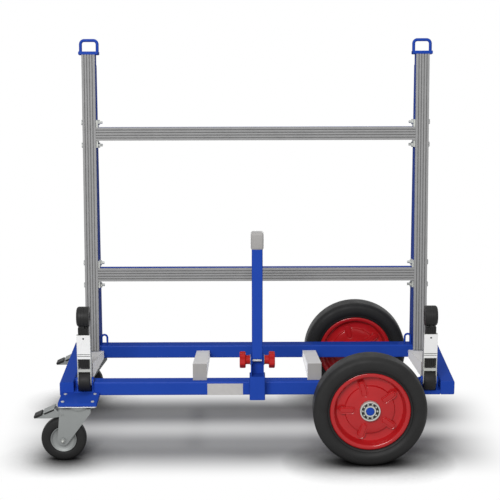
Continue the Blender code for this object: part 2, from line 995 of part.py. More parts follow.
def post(root):
    """The post, with its lower front wall cut away round the rod, about the rod's axis."""
    pivot = empty("post_pivot", (0.0, post_y(), rod_z()), parent=root)
    length = post_top_z - rod_z() + post_below_rod
    solid = box_tube(
        post_size, post_size, post_wall, length, "Z",
        (0.0, 0.0, length / 2 - post_below_rod),
    )
    window_height = post_below_rod + post_front_cut / 2
    window = block(
        (post_size - 2 * post_wall, post_size / 2 + cut_overrun, window_height + cut_overrun),
        (
            0.0,
            -(post_size / 2 + cut_overrun) / 2,
            window_height / 2 - post_below_rod - cut_overrun / 2,
        ),
    )
    hole = cylinder(rod_radius + seat_gap, post_size + 2 * cut_overrun, axis="X")
    add("post", cut(solid, window, hole), blue_paint, pivot)
    post_cap(pivot)


def post_cap(pivot):
    """The rubber cap over the top of the post."""
    inner = post_size + 2 * seat_gap
    outer = inner + 2 * cap_wall
    top = post_top_z - rod_z()
    solid = block(
        (outer, outer, cap_height + cap_crown),
        (0.0, 0.0, top + cap_crown - (cap_height + cap_crown) / 2),
        cap_edge_round / 2,
    )
    hollow = block(
        (inner, inner, cap_height + cut_overrun),
        (0.0, 0.0, top + seat_gap - (cap_height + cut_overrun) / 2),
    )
    add("post_cap", cut(solid, hollow), pale_rubber, pivot)


def clamp_rod(root):
    """The zinc rod through the bracket, on which the post hinges and the knobs turn."""
    length = 2 * (bracket_half_width() + knob_neck_length)
    solid = cylinder(rod_radius, length, axis="X")
    add("clamp_rod", solid, bright_zinc, root, (0.0, post_y(), rod_z()))


def star_outline():
    """The lobed outline of a knob's head."""
    count = knob_lobes * 6
    middle = knob_head_radius - knob_lobe_depth / 2
    return [
        (
            (middle + knob_lobe_depth / 2 * math.cos(knob_lobes * turn)) * math.cos(turn),
            (middle + knob_lobe_depth / 2 * math.cos(knob_lobes * turn)) * math.sin(turn),
        )
        for turn in (2 * math.pi * k / count for k in range(count))
    ]


def knobs(root):
    """The two star knobs, each bored for the rod's end."""
    start = bracket_half_width() + seat_gap
    bore_end = bracket_half_width() + knob_neck_length + seat_gap
    for name, side in (("left_knob", -1), ("right_knob", 1)):
        neck_length = knob_neck_length + weld_depth
        neck = cylinder(
            knob_neck_radius, neck_length, (side * (start + neck_length / 2), 0.0, 0.0),
            "X", medium_steps,
        )
        head_middle = side * (start + knob_neck_length + knob_head_length / 2)
        head = plate([star_outline()], knob_head_length, "X", (head_middle, 0.0, 0.0))
        bore = cylinder(
            rod_radius + seat_gap, 2 * (bore_end + weld_depth), axis="X",
        )
        solid = cut(united(head, neck), bore)
        add(name, solid, red_plastic, root, (0.0, post_y(), rod_z()))


# Folding roller arms

def arm_frame_mesh():
    """Side plates about the pin, the cover plate in front, the tie bar and the pin."""
    half = arm_half_width()
    plate_outline = [
        (-arm_plate_depth / 2, 0.0),
        (-arm_plate_depth / 2, arm_cover_top),
        (0.0, arm_cover_top),
        (arm_plate_depth / 2, arm_cover_bottom),
        (arm_plate_depth / 2, 0.0),
    ]
    for k in range(1, small_steps // 2):
        angle = -math.pi * k / (small_steps // 2)
        plate_outline.append(
            (arm_plate_depth / 2 * math.cos(angle), arm_plate_depth / 2 * math.sin(angle))
        )
    plates = [
        plate(
            [plate_outline], arm_plate_thickness, "X",
            (side * (half - arm_plate_thickness / 2), 0.0, 0.0),
        )
        for side in (-1, 1)
    ]
    cover_height = arm_cover_top - arm_cover_bottom
    cover = block(
        (2 * half, arm_plate_thickness, cover_height),
        (
            0.0,
            -arm_plate_depth / 2 + arm_plate_thickness / 2,
            arm_cover_bottom + cover_height / 2,
        ),
    )
    tie = block(
        (2 * half - arm_plate_thickness, arm_plate_thickness, arm_tie_height),
        (
            0.0,
            -arm_plate_depth / 2 + arm_plate_thickness / 2 + weld_depth,
            arm_tie_bottom + arm_tie_height / 2,
        ),
    )
    pin_length = 2 * (half + side_clearance + lug_thickness)
    pin = cylinder(arm_pin_radius, pin_length, axis="X")
    return united(plates[0], plates[1], cover, tie, pin)


def arm_bar_mesh():
    """The black ribbed bar behind the cover, with the top roller's tongue."""
    section = ribbed_outline(arm_bar_width, arm_bar_depth, arm_bar_ribs, rib_height / 2)
    front_y = -arm_plate_depth / 2 + arm_plate_thickness + seat_gap
    length = arm_bar_top - arm_bar_bottom
    bar = plate(
        [section], length, "Z",
        (0.0, front_y + arm_bar_depth, arm_bar_bottom + length / 2),
    )
    tongue_radius = top_roller_core + top_roller_tongue_wall
    outline = [(-tongue_radius, arm_bar_top - top_roller_height - weld_depth)]
    outline += [(tongue_radius, arm_bar_top - top_roller_height - weld_depth)]
    for k in range(small_steps // 2 + 1):
        angle = math.pi * k / (small_steps // 2)
        outline.append((tongue_radius * math.cos(angle), tongue_radius * math.sin(angle)))
    hole = circle(top_roller_core + seat_gap, medium_steps)
    tongue = plate(
        [outline, hole], top_roller_slot - 2 * side_clearance, "X", (0.0, 0.0, top_roller_height)
    )
    return united(bar, tongue)


def top_roller_mesh():
    """Two discs on one core, which turns in the bar's tongue."""
    half = top_roller_width / 2
    slot = top_roller_slot / 2
    edge = roller_edge_round
    outside = [
        (arm_pin_radius / 2, half - edge), (top_roller_core, half - edge),
        (top_roller_core + edge, half), (top_roller_radius - edge, half),
        (top_roller_radius, half - edge), (top_roller_radius, slot), (top_roller_core, slot),
    ]
    profile = outside + [(radius, -place) for radius, place in reversed(outside)]
    return turned(profile, "X", medium_steps)


def bottom_roller_mesh():
    """A plain roller with rounded edges, bored for the arm's pin."""
    half = bottom_roller_width / 2
    edge = roller_edge_round
    outside = [
        (arm_pin_radius + seat_gap, half), (bottom_roller_radius - edge, half),
        (bottom_roller_radius, half - edge),
    ]
    profile = outside + [(radius, -place) for radius, place in reversed(outside)]
    return turned(profile, "X", medium_steps)


def arms(root):
    """The two folding arms with their rollers, each about its pin."""
    for word, side in (("left", -1), ("right", 1)):
        pivot = empty(f"{word}_arm_pivot", (side * arm_x, arm_pin_y, arm_pin_z), parent=root)
        add(f"{word}_arm_frame", arm_frame_mesh(), bright_zinc, pivot)
        add(f"{word}_arm_bar", arm_bar_mesh(), black_rubber, pivot)
        roller_place = (0.0, 0.0, top_roller_height)
        add(f"{word}_top_roller", top_roller_mesh(), black_rubber, pivot, roller_place)
        add(f"{word}_bottom_roller", bottom_roller_mesh(), black_rubber, pivot)


# Large wheels

def corner_radius(radius, steps):
    """The radius of a faceted ring's corners when its flats lie at the given radius."""
    return radius / math.cos(math.pi / steps)


def tyre_profile():
    """Half of the solid tyre's section, from the bead to the tread, mirrored."""
    bead = rim_radius
    wall = corner_radius(wheel_radius, fine_steps) - rim_radius
    bead_half, tread_half, tyre_half = tyre_bead_width / 2, tread_width / 2, tyre_width / 2
    shoulder = tyre_half - tread_half
    outside = [
        (bead, bead_half),
        (bead + wall * 0.10, bead_half + (tyre_half - bead_half) * 0.30),
        (bead + wall * 0.30, bead_half + (tyre_half - bead_half) * 0.85),
        (bead + wall * 0.50, tyre_half),
    ]
    for k in range(1, 5):
        angle = math.pi / 2 * k / 4
        outside.append(
            (
                bead + wall * 0.62 + wall * 0.38 * math.sin(angle),
                tread_half + shoulder * math.cos(angle),
            )
        )
    return outside + [(radius, -place) for radius, place in reversed(outside)]


def rim_profile():
    """Half of the rim's section: lip, channel, step and dished web, mirrored."""
    half = rim_width / 2
    seat = rim_radius - seat_gap
    channel = half - rim_channel_depth
    web = rim_web_width / 2
    outside = [
        (hub_radius + seat_gap, web),
        (rim_step_radius - rim_step_height, web - rim_step_height / 2),
        (rim_step_radius, web + rim_step_height),
        (rim_step_radius + rim_step_height, channel),
        (seat - 3 * rim_lip, channel),
        (seat - rim_lip, half - rim_lip),
        (seat - rim_lip, half),
        (seat, half),
    ]
    return outside + [(radius, -place) for radius, place in reversed(outside)]


def hub_mesh():
    """The bearing hub: a sleeve on the axle with chamfered ends."""
    half = hub_width / 2
    bore = axle_radius + seat_gap
    outside = [
        (bore, half), (hub_radius - hub_chamfer, half), (hub_radius, half - hub_chamfer),
    ]
    profile = outside + [(radius, -place) for radius, place in reversed(outside)]
    return turned(profile, "Y", medium_steps)


def large_wheels(root):
    """The two large wheels, each about its centre on the axle."""
    for word, side in (("front", -1), ("rear", 1)):
        centre = (wheel_x, side * wheel_y, wheel_radius)
        add(f"{word}_tyre", turned(tyre_profile(), "Y"), black_rubber, root, centre)
        add(f"{word}_rim", turned(rim_profile(), "Y"), red_paint, root, centre)
        add(f"{word}_hub", hub_mesh(), zinc, root, centre)


# Castors

def castor_plate_mesh():
    """The castor's top plate with its race and four bolts, about the swivel axis at its top."""
    solid = block(
        (castor_plate_length, castor_plate_width, castor_plate_thickness),
        (0.0, 0.0, -castor_plate_thickness / 2),
    )
    parts = []
    plate_top = mount_plate_thickness + 2 * seat_gap
    for dx, dy in castor_bolt_places():
        length = plate_top + castor_plate_thickness
        parts.append(
            cylinder(
                castor_bolt_radius, length, (dx, dy, plate_top - length / 2 + weld_depth),
                "Z", fastener_steps,
            )
        )
        parts.append(
            hexagon_head(
                castor_bolt_head, castor_bolt_head_height, "Z",
                (dx, dy, plate_top + castor_bolt_head_height / 2),
            )
        )
    return united(solid, *parts)


def fork_outline():
    """A fork leg from the side, about the swivel axis at the fork's top."""
    axle_x, axle_z = -castor_trail, -castor_drop()
    points = [(fork_front_reach, 0.0), (-fork_back_reach, 0.0)]
    for k in range(small_steps // 2 + 1):
        angle = math.pi + (math.pi * 0.82) * k / (small_steps // 2)
        points.append(
            (
                axle_x + fork_end_radius * math.cos(angle),
                axle_z + fork_end_radius * math.sin(angle),
            )
        )
    points.append((fork_front_reach, -race_height))
    return points


def fork_top():
    """The height of the fork's crown."""
    return frame_bottom - seat_gap - castor_plate_thickness - race_height


def castor_drop():
    """From the fork's crown down to the castor's axle."""
    return fork_top() - castor_wheel_radius


def fork_mesh():
    """Two legs, the crown between them, the swivel race above and the wheel's axle bolt."""
    inner = castor_hub_width / 2 + fork_gap
    legs = [
        plate(
            [fork_outline()], fork_thickness, "Y",
            (0.0, side * (inner + fork_thickness / 2), 0.0),
        )
        for side in (-1, 1)
    ]
    crown = block(
        (fork_front_reach + fork_back_reach, 2 * (inner + fork_thickness), fork_thickness),
        ((fork_front_reach - fork_back_reach) / 2, 0.0, -fork_thickness / 2),
    )
    race = cylinder(
        race_radius, race_height - seat_gap + weld_depth,
        (0.0, 0.0, (race_height - seat_gap - weld_depth) / 2), "Z", medium_steps,
    )
    axle_place = (-castor_trail, 0.0, -castor_drop())
    bolt = cylinder(
        castor_axle_radius, 2 * (inner + fork_thickness + castor_nut_height), axle_place, "Y"
    )
    nuts = [
        hexagon_head(
            castor_nut_width, castor_nut_height, "Y",
            (
                axle_place[0],
                side * (inner + fork_thickness + castor_nut_height / 2 - weld_depth),
                axle_place[2],
            ),
        )
        for side in (-1, 1)
    ]
    hole = cylinder(
        pedal_pivot_radius + seat_gap, 2 * (inner + fork_thickness + cut_overrun),
        pedal_place(), "Y",
    )
    return cut(united(crown, *legs, race, bolt, *nuts), hole)


def castor_tyre_profile():
    """The castor tyre's section with rounded shoulders."""
    half = castor_tyre_width / 2
    band = corner_radius(castor_wheel_radius, castor_steps) - castor_hub_radius
    outside = [(castor_hub_radius, half), (castor_hub_radius + band * 0.5, half)]
    for k in range(1, 4):
        angle = math.pi / 2 * k / 3
        outside.append(
            (
                castor_hub_radius + band * 0.5 + band * 0.5 * math.sin(angle),
                half * 0.45 + half * 0.55 * math.cos(angle),
            )
        )
    return outside + [(radius, -place) for radius, place in reversed(outside)]


def castor_hub_profile():
    """The castor's pressed hub: a dished disc with a boss on the axle."""
    half = castor_tyre_width / 2
    boss = castor_hub_width / 2
    bore = castor_axle_radius + seat_gap
    outside = [
        (bore, boss), (bore * 2, boss), (bore * 2, half * 0.5),
        (castor_hub_radius * 0.82, half * 0.5), (castor_hub_radius - seat_gap, half * 0.95),
    ]
    return outside + [(radius, -place) for radius, place in reversed(outside)]


def pedal_place():
    """The pedal's pin, from the fork's crown."""
    return (-pedal_pivot_reach, 0.0, -pedal_pivot_drop)


def pedal_mesh():
    """The brake pedal about its pin: an eye, a raised ridge and a sloping tread."""
    pin_z = fork_top() - pedal_pivot_drop
    tip = (pedal_pivot_reach - pedal_tip_reach, pedal_tip_height - pin_z)
    ridge = (pedal_pivot_reach - pedal_ridge_reach, pedal_ridge_height - pin_z)
    eye = pedal_eye_radius
    outline = rounded(
        [
            (eye, -eye), (eye, eye), (ridge[0] + eye, eye), ridge,
            (tip[0], tip[1] + pedal_tip_thickness), tip, (tip[0] / 2, tip[1]),
        ],
        pedal_edge_round,
    )
    pin = cylinder(pedal_pivot_radius, castor_hub_width + 2 * (fork_gap + fork_thickness), axis="Y")
    return united(plate([outline], pedal_width, "Y"), pin)


def castors(root):
    """The two braked swivel castors under the left end."""
    for word, side in (("front", -1), ("rear", 1)):
        top = (castor_x, side * castor_y, frame_bottom - seat_gap)
        add(f"{word}_castor_top", castor_plate_mesh(), zinc, root, top)
        crown = (castor_x, side * castor_y, fork_top())
        swivel = empty(f"{word}_castor_swivel", crown, parent=root)
        add(f"{word}_castor_fork", fork_mesh(), zinc, swivel)
        axle_place = (-castor_trail, 0.0, -castor_drop())
        tyre = turned(castor_tyre_profile(), "Y", castor_steps)
        hub = turned(castor_hub_profile(), "Y", castor_steps)
        add(f"{word}_castor_tyre", tyre, black_rubber, swivel, axle_place)
        add(f"{word}_castor_hub", hub, zinc, swivel, axle_place)
        add(f"{word}_castor_pedal", pedal_mesh(), black_rubber, swivel, pedal_place())


def build():
    """Build every piece under one root at the middle of the whole object."""
    left_reach = castor_x * -1 + pedal_tip_reach
    root = empty("slab_buggy_root", ((left_reach - half_length) / 2, 0.0, 0.0))
    front_rail(root)
    rear_rail(root)
    end_beams(root)
    axle(root)
    castor_mount_plates(root)
    right_corner(root)
    lean = empty("upright_lean", (0.0, upright_foot_y, frame_top), (-lean_angle, 0.0, 0.0), root)
    uprights(lean)
    handles(lean)
    facings(lean)
    crossbars(lean)
    flanges(lean)
    braces(root)
    supports(root)
    hooks(root)
    bracket(root)
    post(root)
    clamp_rod(root)
    knobs(root)
    arms(root)
    large_wheels(root)
    castors(root)


build()
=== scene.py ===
"""Looks of a slab buggy: its pieces, finishes, floor, light and camera. Lengths are in metres."""

import json
import math

import bpy
from mathutils import Matrix, Vector


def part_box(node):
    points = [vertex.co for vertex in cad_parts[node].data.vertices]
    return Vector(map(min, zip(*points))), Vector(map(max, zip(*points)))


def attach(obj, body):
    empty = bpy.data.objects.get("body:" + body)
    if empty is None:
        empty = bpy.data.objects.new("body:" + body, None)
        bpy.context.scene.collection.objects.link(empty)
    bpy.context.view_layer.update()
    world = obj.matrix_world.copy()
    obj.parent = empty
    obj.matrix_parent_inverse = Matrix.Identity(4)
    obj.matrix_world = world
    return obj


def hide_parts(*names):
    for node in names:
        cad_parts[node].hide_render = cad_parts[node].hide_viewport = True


bl_info = {
    "name": "Slab buggy",
    "version": (1, 0, 0),
    "blender": (4, 5, 0),
    "location": "3D View > Sidebar > Slab buggy",
    "description": "Models and finishes the pieces of a slab buggy",
    "category": "Add Mesh",
}

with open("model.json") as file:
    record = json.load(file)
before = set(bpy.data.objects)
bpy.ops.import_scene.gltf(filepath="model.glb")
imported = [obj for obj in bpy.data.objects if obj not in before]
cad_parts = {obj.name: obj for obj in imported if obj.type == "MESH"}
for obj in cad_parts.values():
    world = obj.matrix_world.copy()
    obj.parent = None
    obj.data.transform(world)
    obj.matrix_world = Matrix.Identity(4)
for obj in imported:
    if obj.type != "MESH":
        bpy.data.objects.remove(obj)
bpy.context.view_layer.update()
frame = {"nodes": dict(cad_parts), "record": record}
nodes = frame["nodes"]

ORIGIN = (0.0, 0.0, 0.0)
MERGE_DISTANCE = 0.00001
SIDES = ("left", "right")
WHEELS = ("front", "rear")
# Floor colours: black for the painted contact shade, grey for the painted shadow under the buggy,
# and white
CONTACT_SHADE_BLACK, PAINTED_SHADOW_GREY, WHITE = ((value, value, value, 1.0) for value in (0.01, 0.42, 1.0))
# Grey of the painted shade in grooves and recesses
GROOVE_SHADE_TONE = "#525252"
UPRIGHT_LEAN = math.radians(7.0)

# Tyre walls from the bead out, as shares of the wall's height and of half the width
TYRE_WALL_SHARES = (
    (0.0, 0.74), (0.04, 0.80), (0.10, 0.84), (0.13, 0.80),
    (0.16, 0.84), (0.28, 0.955), (0.42, 0.995), (0.54, 0.99),
)
CASTOR_WALL_SHARES = ((0.0, 0.78), (0.06, 0.92), (0.16, 0.985), (0.45, 0.995))
# Round shoulders in the same shares: where their centre is and how far they reach
TYRE_SHOULDER_SHARES = ((0.62, 0.56), (0.375, 0.42))
CASTOR_SHOULDER_SHARES = ((0.55, 0.42), (0.44, 0.56))
# Faces of the pressed discs, as a radius and a share of half the width
RIM_FACE = (
    (0.0400, 0.50), (0.0460, 0.46), (0.0600, 0.42), (0.0840, 0.38), (0.0858, 0.355),
    (0.0872, 0.22), (0.0885, 0.12), (0.0910, 0.09), (0.1130, 0.09), (0.1165, 0.12),
    (0.1195, 0.30), (0.1225, 0.62), (0.1240, 0.76), (0.1246, 0.82), (0.1256, 0.88),
    (0.1275, 0.945), (0.1310, 0.985), (0.1345, 0.998), (0.1380, 0.985), (0.1402, 0.955),
)
CASTOR_FACE = (
    (0.0145, 0.62), (0.0200, 0.60), (0.0370, 0.66), (0.0405, 0.74),
    (0.0430, 0.88), (0.0450, 0.92), (0.0460, 0.89),
)


# Places and sizes read from the frame

def middle(node):
    """The centre of a frame piece."""
    low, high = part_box(node)
    return (low + high) / 2


def extent(node):
    """The three sizes of a frame piece."""
    low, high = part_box(node)
    return high - low


# Colours and shader nodes

def linear(code):
    """An sRGB hex colour as linear RGBA."""
    coded = [int(code[i:i + 2], 16) / 255 for i in (1, 3, 5)]
    return (*(c / 12.92 if c <= 0.04045 else ((c + 0.055) / 1.055) ** 2.4 for c in coded), 1.0)


def add_node(tree, kind, inputs=None, **settings):
    """A shader node with its settings, and values or links on its inputs."""
    made = tree.nodes.new(kind)
    for key, value in settings.items():
        setattr(made, key, value)
    for socket, value in (inputs or {}).items():
        if isinstance(value, bpy.types.NodeSocket):
            tree.links.new(value, made.inputs[socket])
        else:
            made.inputs[socket].default_value = value
    return made


def new_material(name):
    """An empty node material with its output."""
    made = bpy.data.materials.new(name)
    made.use_nodes = True
    made.node_tree.nodes.clear()
    output = made.node_tree.nodes.new("ShaderNodeOutputMaterial")
    return made, made.node_tree, output


def surface(
    name, colours, roughness, grain_mm, grain_depth_mm, tone_mm, edge_mm=0.0, groove_shade_mm=0.0,
    **values,
):
    """A finish: two close colours in soft patches, a fine grain, soft edges and painted shade
    darkening its grooves.
    """
    made, tree, output = new_material(name)
    spot = add_node(tree, "ShaderNodeTexCoord").outputs["Object"]
    patches = add_node(
        tree, "ShaderNodeTexNoise",
        {"Vector": spot, "Scale": 1000.0 / tone_mm, "Detail": 3.0, "Roughness": 0.55},
    ).outputs["Fac"]
    tone = add_node(
        tree, "ShaderNodeMix",
        {"Factor": patches, "A": linear(colours[0]), "B": linear(colours[1])}, data_type="RGBA",
    ).outputs["Result"]
    # Painted shade: ambient occlusion darkens the colour towards a grey in grooves and recesses
    if groove_shade_mm > 0.0:
        occlusion_for_painted_shade = add_node(
            tree, "ShaderNodeAmbientOcclusion", {"Distance": groove_shade_mm / 1000.0}, samples=8
        ).outputs["AO"]
        tone = add_node(
            tree, "ShaderNodeMix", {"Factor": occlusion_for_painted_shade, "A": linear(GROOVE_SHADE_TONE), "B": tone},
            data_type="RGBA",
        ).outputs["Result"]
    grain = add_node(
        tree, "ShaderNodeTexNoise",
        {"Vector": spot, "Scale": 1000.0 / grain_mm, "Detail": 2.0},
    ).outputs["Fac"]
    relief = add_node(
        tree, "ShaderNodeBump",
        {"Height": grain, "Strength": 1.0, "Distance": grain_depth_mm / 1000.0},
    )
    if edge_mm > 0.0:
        edge = add_node(tree, "ShaderNodeBevel", {"Radius": edge_mm / 1000.0}, samples=6)
        tree.links.new(edge.outputs["Normal"], relief.inputs["Normal"])
    gloss = add_node(
        tree, "ShaderNodeMapRange",
        {
            "Value": patches, "From Min": 0.3, "From Max": 0.7,
            "To Min": roughness[0], "To Max": roughness[1],
        },
    ).outputs["Result"]
    inputs = {"Base Color": tone, "Roughness": gloss, "Normal": relief.outputs["Normal"]}
    for socket, value in values.items():
        inputs[socket.replace("_", " ")] = value
    shader = add_node(tree, "ShaderNodeBsdfPrincipled", inputs)
    tree.links.new(shader.outputs["BSDF"], output.inputs["Surface"])
    return made


def make_materials(looks):
    """All the finishes of the buggy."""
    made = {}
    # Powder-coated steel tube: even colour, faint orange peel, soft gloss
    made["blue_paint"] = surface(
        "powder_coated_steel_blue", (looks.blue, looks.blue_deep),
        roughness=(0.34, 0.42), grain_mm=3.0, grain_depth_mm=0.03, tone_mm=90.0, edge_mm=3.5,
        IOR=1.5, Specular_IOR_Level=0.0, Coat_Weight=0.06, Coat_Roughness=0.22,
    )
    # Gloss enamel on pressed steel: deeper gloss, hardly any texture
    made["red_paint"] = surface(
        "enamelled_pressed_steel_red", (looks.red, looks.red_deep),
        roughness=(0.3, 0.4), grain_mm=5.0, grain_depth_mm=0.02, tone_mm=70.0, edge_mm=1.0,
        IOR=1.5, Specular_IOR_Level=0.1, Coat_Weight=0.5, Coat_Roughness=0.12,
    )
    # Injection-moulded nylon: clean colour and a satin skin
    made["red_plastic"] = surface(
        "moulded_nylon_red", (looks.knob_red, looks.red_deep),
        roughness=(0.46, 0.56), grain_mm=1.2, grain_depth_mm=0.02, tone_mm=40.0,
        IOR=1.53, Specular_IOR_Level=0.12,
    )
    # Extruded EPDM strip: matt grey with a faint dusty bloom, and painted shade in its grooves
    # where ambient occlusion darkens the colour
    made["grey_rubber"] = surface(
        "extruded_rubber_grey", (looks.strip_grey, looks.strip_deep),
        roughness=(0.62, 0.74), grain_mm=1.5, grain_depth_mm=0.04, tone_mm=50.0, groove_shade_mm=6.0,
        IOR=1.52, Specular_IOR_Level=0.3,
    )
    # Moulded pale rubber: soft matt surface, paler where the light grazes it
    made["pale_rubber"] = surface(
        "moulded_rubber_pale", (looks.pad_pale, looks.pad_deep),
        roughness=(0.5, 0.6), grain_mm=2.0, grain_depth_mm=0.03, tone_mm=60.0, edge_mm=1.5,
        IOR=1.52, Specular_IOR_Level=0.2, Sheen_Weight=1.0, Sheen_Roughness=0.35,
    )
    # Solid rubber tyre: near black, slightly shiny from the mould
    made["black_rubber"] = surface(
        "moulded_tyre_rubber_black", (looks.tyre_black, looks.tyre_deep),
        roughness=(0.46, 0.6), grain_mm=2.5, grain_depth_mm=0.08, tone_mm=45.0,
        IOR=1.52, Specular_IOR_Level=0.18,
    )
    # Barrel-zinced pressed steel: grey metal with a faint spangle
    made["zinc"] = surface(
        "zinc_plated_pressed_steel", (looks.zinc_grey, looks.zinc_light),
        roughness=(0.5, 0.6), grain_mm=1.8, grain_depth_mm=0.03, tone_mm=18.0, edge_mm=0.8,
        Metallic=0.6,
    )
    # Bright zinc: the palest metal on the buggy
    made["bright_zinc"] = surface(
        "bright_zinc_plated_steel", (looks.zinc_bright, looks.zinc_white),
        roughness=(0.3, 0.4), grain_mm=2.5, grain_depth_mm=0.02, tone_mm=30.0,
        Metallic=0.3,
    )
    # White-lacquered cover plate: clean, flat white
    made["cover_white"] = surface(
        "lacquered_cover_plate", (looks.cover_white, looks.cover_pale),
        roughness=(0.4, 0.5), grain_mm=3.0, grain_depth_mm=0.01, tone_mm=60.0,
        IOR=1.5,
    )
    # Zinc flake coating on arms, flanges, hub rings, bolts and nuts: pale and dull
    made["arm_zinc"] = surface(
        "zinc_flake_side_plate", (looks.arm_grey, looks.arm_light),
        roughness=(0.5, 0.6), grain_mm=2.0, grain_depth_mm=0.03, tone_mm=25.0,
        Metallic=0.35,
    )
    # Painted shade: a dark finish on the sheets put in the gaps of the bearings and the covers, and
    # on the covers' hole discs, where there is only shade
    made["gap_shade_dark"] = surface(
        "painted_shade_in_gaps", (looks.gap_shade_dark, looks.tyre_deep),
        roughness=(0.4, 0.5), grain_mm=1.0, grain_depth_mm=0.02, tone_mm=10.0,
        Metallic=0.3,
    )
    # Bare aluminium plate: fine rolled grain
    made["bare_plate"] = surface(
        "rolled_aluminium_plate", (looks.plate_grey, looks.plate_light),
        roughness=(0.45, 0.55), grain_mm=0.8, grain_depth_mm=0.02, tone_mm=15.0,
        Metallic=0.4,
    )
    return made


# Outlines and profiles

def arc(centre, across, up, start, end, steps):
    """Points of an arc: its centre, its reach each way, two angles in degrees and its steps."""
    points = []
    for k in range(steps + 1):
        angle = math.radians(start + (end - start) * k / steps)
        points.append((centre[0] + across * math.cos(angle), centre[1] + up * math.sin(angle)))
    return points


def rectangle(width, height):
    """The corners of a rectangle about the origin."""
    x, y = width / 2, height / 2
    return [(-x, -y), (x, -y), (x, y), (-x, y)]


def rounded_rectangle(width, height, corner):
    """A rectangle about the origin with round corners."""
    x, y = width / 2 - corner, height / 2 - corner
    points = []
    for k, centre in enumerate(((x, y), (-x, y), (-x, -y), (x, -y))):
        points += arc(centre, corner, corner, 90 * k, 90 * k + 90, 4)
    return points


def hexagon(width):
    """The corners of a hexagon by its width across flats."""
    corner = width / math.sqrt(3)
    return arc((0.0, 0.0), corner, corner, 0, 300, 5)


def mirrored(half):
    """A closed profile from its outer half."""
    return half + [(radius, -along) for radius, along in reversed(half)]


def tyre_profile(bead, radius, half, wall_shares, shoulder_shares, steps, tread_share):
    """A tyre's closed profile, from shares of its wall's height and of half its width."""
    wall = radius - bead
    (rise, reach), (rise_by, reach_by) = shoulder_shares
    outer = [(bead + wall * up, half * out) for up, out in wall_shares]
    outer += arc(
        (bead + wall * rise, half * reach), wall * rise_by, half * reach_by, 90, 0, steps
    )
    outer.append((radius, half * tread_share))
    return mirrored(outer)


def round_wheel(angle, radius, along):
    """A point by its angle and distance round a wheel's axis, and its place along it."""
    return Vector((radius * math.cos(angle), along, radius * math.sin(angle)))


# Modelling steps shared by the pieces

def deselect():
    """Leave object mode with nothing selected."""
    if bpy.context.object and bpy.context.object.mode != "OBJECT":
        bpy.ops.object.mode_set(mode="OBJECT")
    bpy.ops.object.select_all(action="DESELECT")


def only(piece):
    """Select one piece and make it active."""
    deselect()
    piece.select_set(True)
    bpy.context.view_layer.objects.active = piece


def traced(name, points, closed=True):
    """A line of points drawn by extruding one point after another, left in edit mode."""
    deselect()
    bpy.ops.mesh.primitive_plane_add(size=0.01, location=ORIGIN)
    piece = bpy.context.active_object
    piece.name = name
    bpy.ops.object.mode_set(mode="EDIT")
    bpy.ops.mesh.select_all(action="SELECT")
    bpy.ops.mesh.merge(type="CENTER")
    bpy.ops.transform.translate(value=Vector(points[0]))
    route = list(points) + ([points[0]] if closed else [])
    for here, there in zip(route, route[1:]):
        bpy.ops.mesh.extrude_region_move(
            TRANSFORM_OT_translate={"value": Vector(there) - Vector(here)}
        )
    bpy.ops.mesh.select_all(action="SELECT")
    bpy.ops.mesh.remove_doubles(threshold=MERGE_DISTANCE)
    return piece


def apply_modifier(piece, kind, **settings):
    """Add one modifier and apply it."""
    only(piece)
    step = piece.modifiers.new("step", kind)
    for key, value in settings.items():
        setattr(step, key, value)
    bpy.ops.object.modifier_apply(modifier=step.name)


def close_up(piece, angle=35.0):
    """Merge doubles, turn the faces outwards and smooth all but the sharp edges."""
    only(piece)
    bpy.ops.object.mode_set(mode="EDIT")
    bpy.ops.mesh.select_all(action="SELECT")
    bpy.ops.mesh.remove_doubles(threshold=MERGE_DISTANCE)
    bpy.ops.mesh.normals_make_consistent(inside=False)
    bpy.ops.object.mode_set(mode="OBJECT")
    bpy.ops.object.shade_smooth_by_angle(angle=math.radians(angle))
    return piece


def place(piece, centre, turn=None):
    """Move a piece modelled about the origin to its place, and apply it."""
    only(piece)
    piece.matrix_world = Matrix.Translation(centre) @ (turn or Matrix.Identity(4))
    bpy.ops.object.transform_apply(location=True, rotation=True, scale=True)
    return piece


lay_along = {
    "X": Matrix.Rotation(math.pi / 2, 4, "Y"),
    "Y": Matrix.Rotation(math.pi / 2, 4, "X"),
    "Z": Matrix.Identity(4),
}


def turned(name, profile, axis, centre, steps=72):
    """A round piece spun from a closed profile of (radius, place) points."""
    piece = traced(name, [(radius, 0.0, along) for radius, along in profile])
    apply_modifier(
        piece, "SCREW", axis="Z", angle=math.tau, steps=steps, render_steps=steps,
        use_merge_vertices=True, merge_threshold=MERGE_DISTANCE,
    )
    close_up(piece)
    place(piece, centre, lay_along[axis])
    return close_up(piece)


def bevelled(piece, width, segments):
    """Ease the edges of a piece."""
    apply_modifier(
        piece, "BEVEL", width=width, segments=segments, limit_method="ANGLE",
        angle_limit=math.radians(30), harden_normals=False,
    )


def slab(name, outline, thickness, bevel=0.0, segments=3):
    """A flat piece: an outline in XY, given its thickness both ways, with eased edges."""
    piece = traced(name, [(x, y, -thickness / 2) for x, y in outline])
    bpy.ops.mesh.edge_face_add()
    bpy.ops.mesh.extrude_region_move(TRANSFORM_OT_translate={"value": (0.0, 0.0, thickness)})
    bpy.ops.object.mode_set(mode="OBJECT")
    close_up(piece)
    if bevel > 0:
        bevelled(piece, bevel, segments)
    return close_up(piece)


def round_bar(name, points, radius):
    """A round bar bent along a line of points."""
    piece = traced(name, points, closed=False)
    bpy.ops.object.mode_set(mode="OBJECT")
    only(piece)
    bpy.ops.object.convert(target="CURVE")
    piece = bpy.context.active_object
    piece.data.bevel_depth = radius
    piece.data.bevel_resolution = 5
    piece.data.use_fill_caps = True
    bpy.ops.object.convert(target="MESH")
    return close_up(bpy.context.active_object)


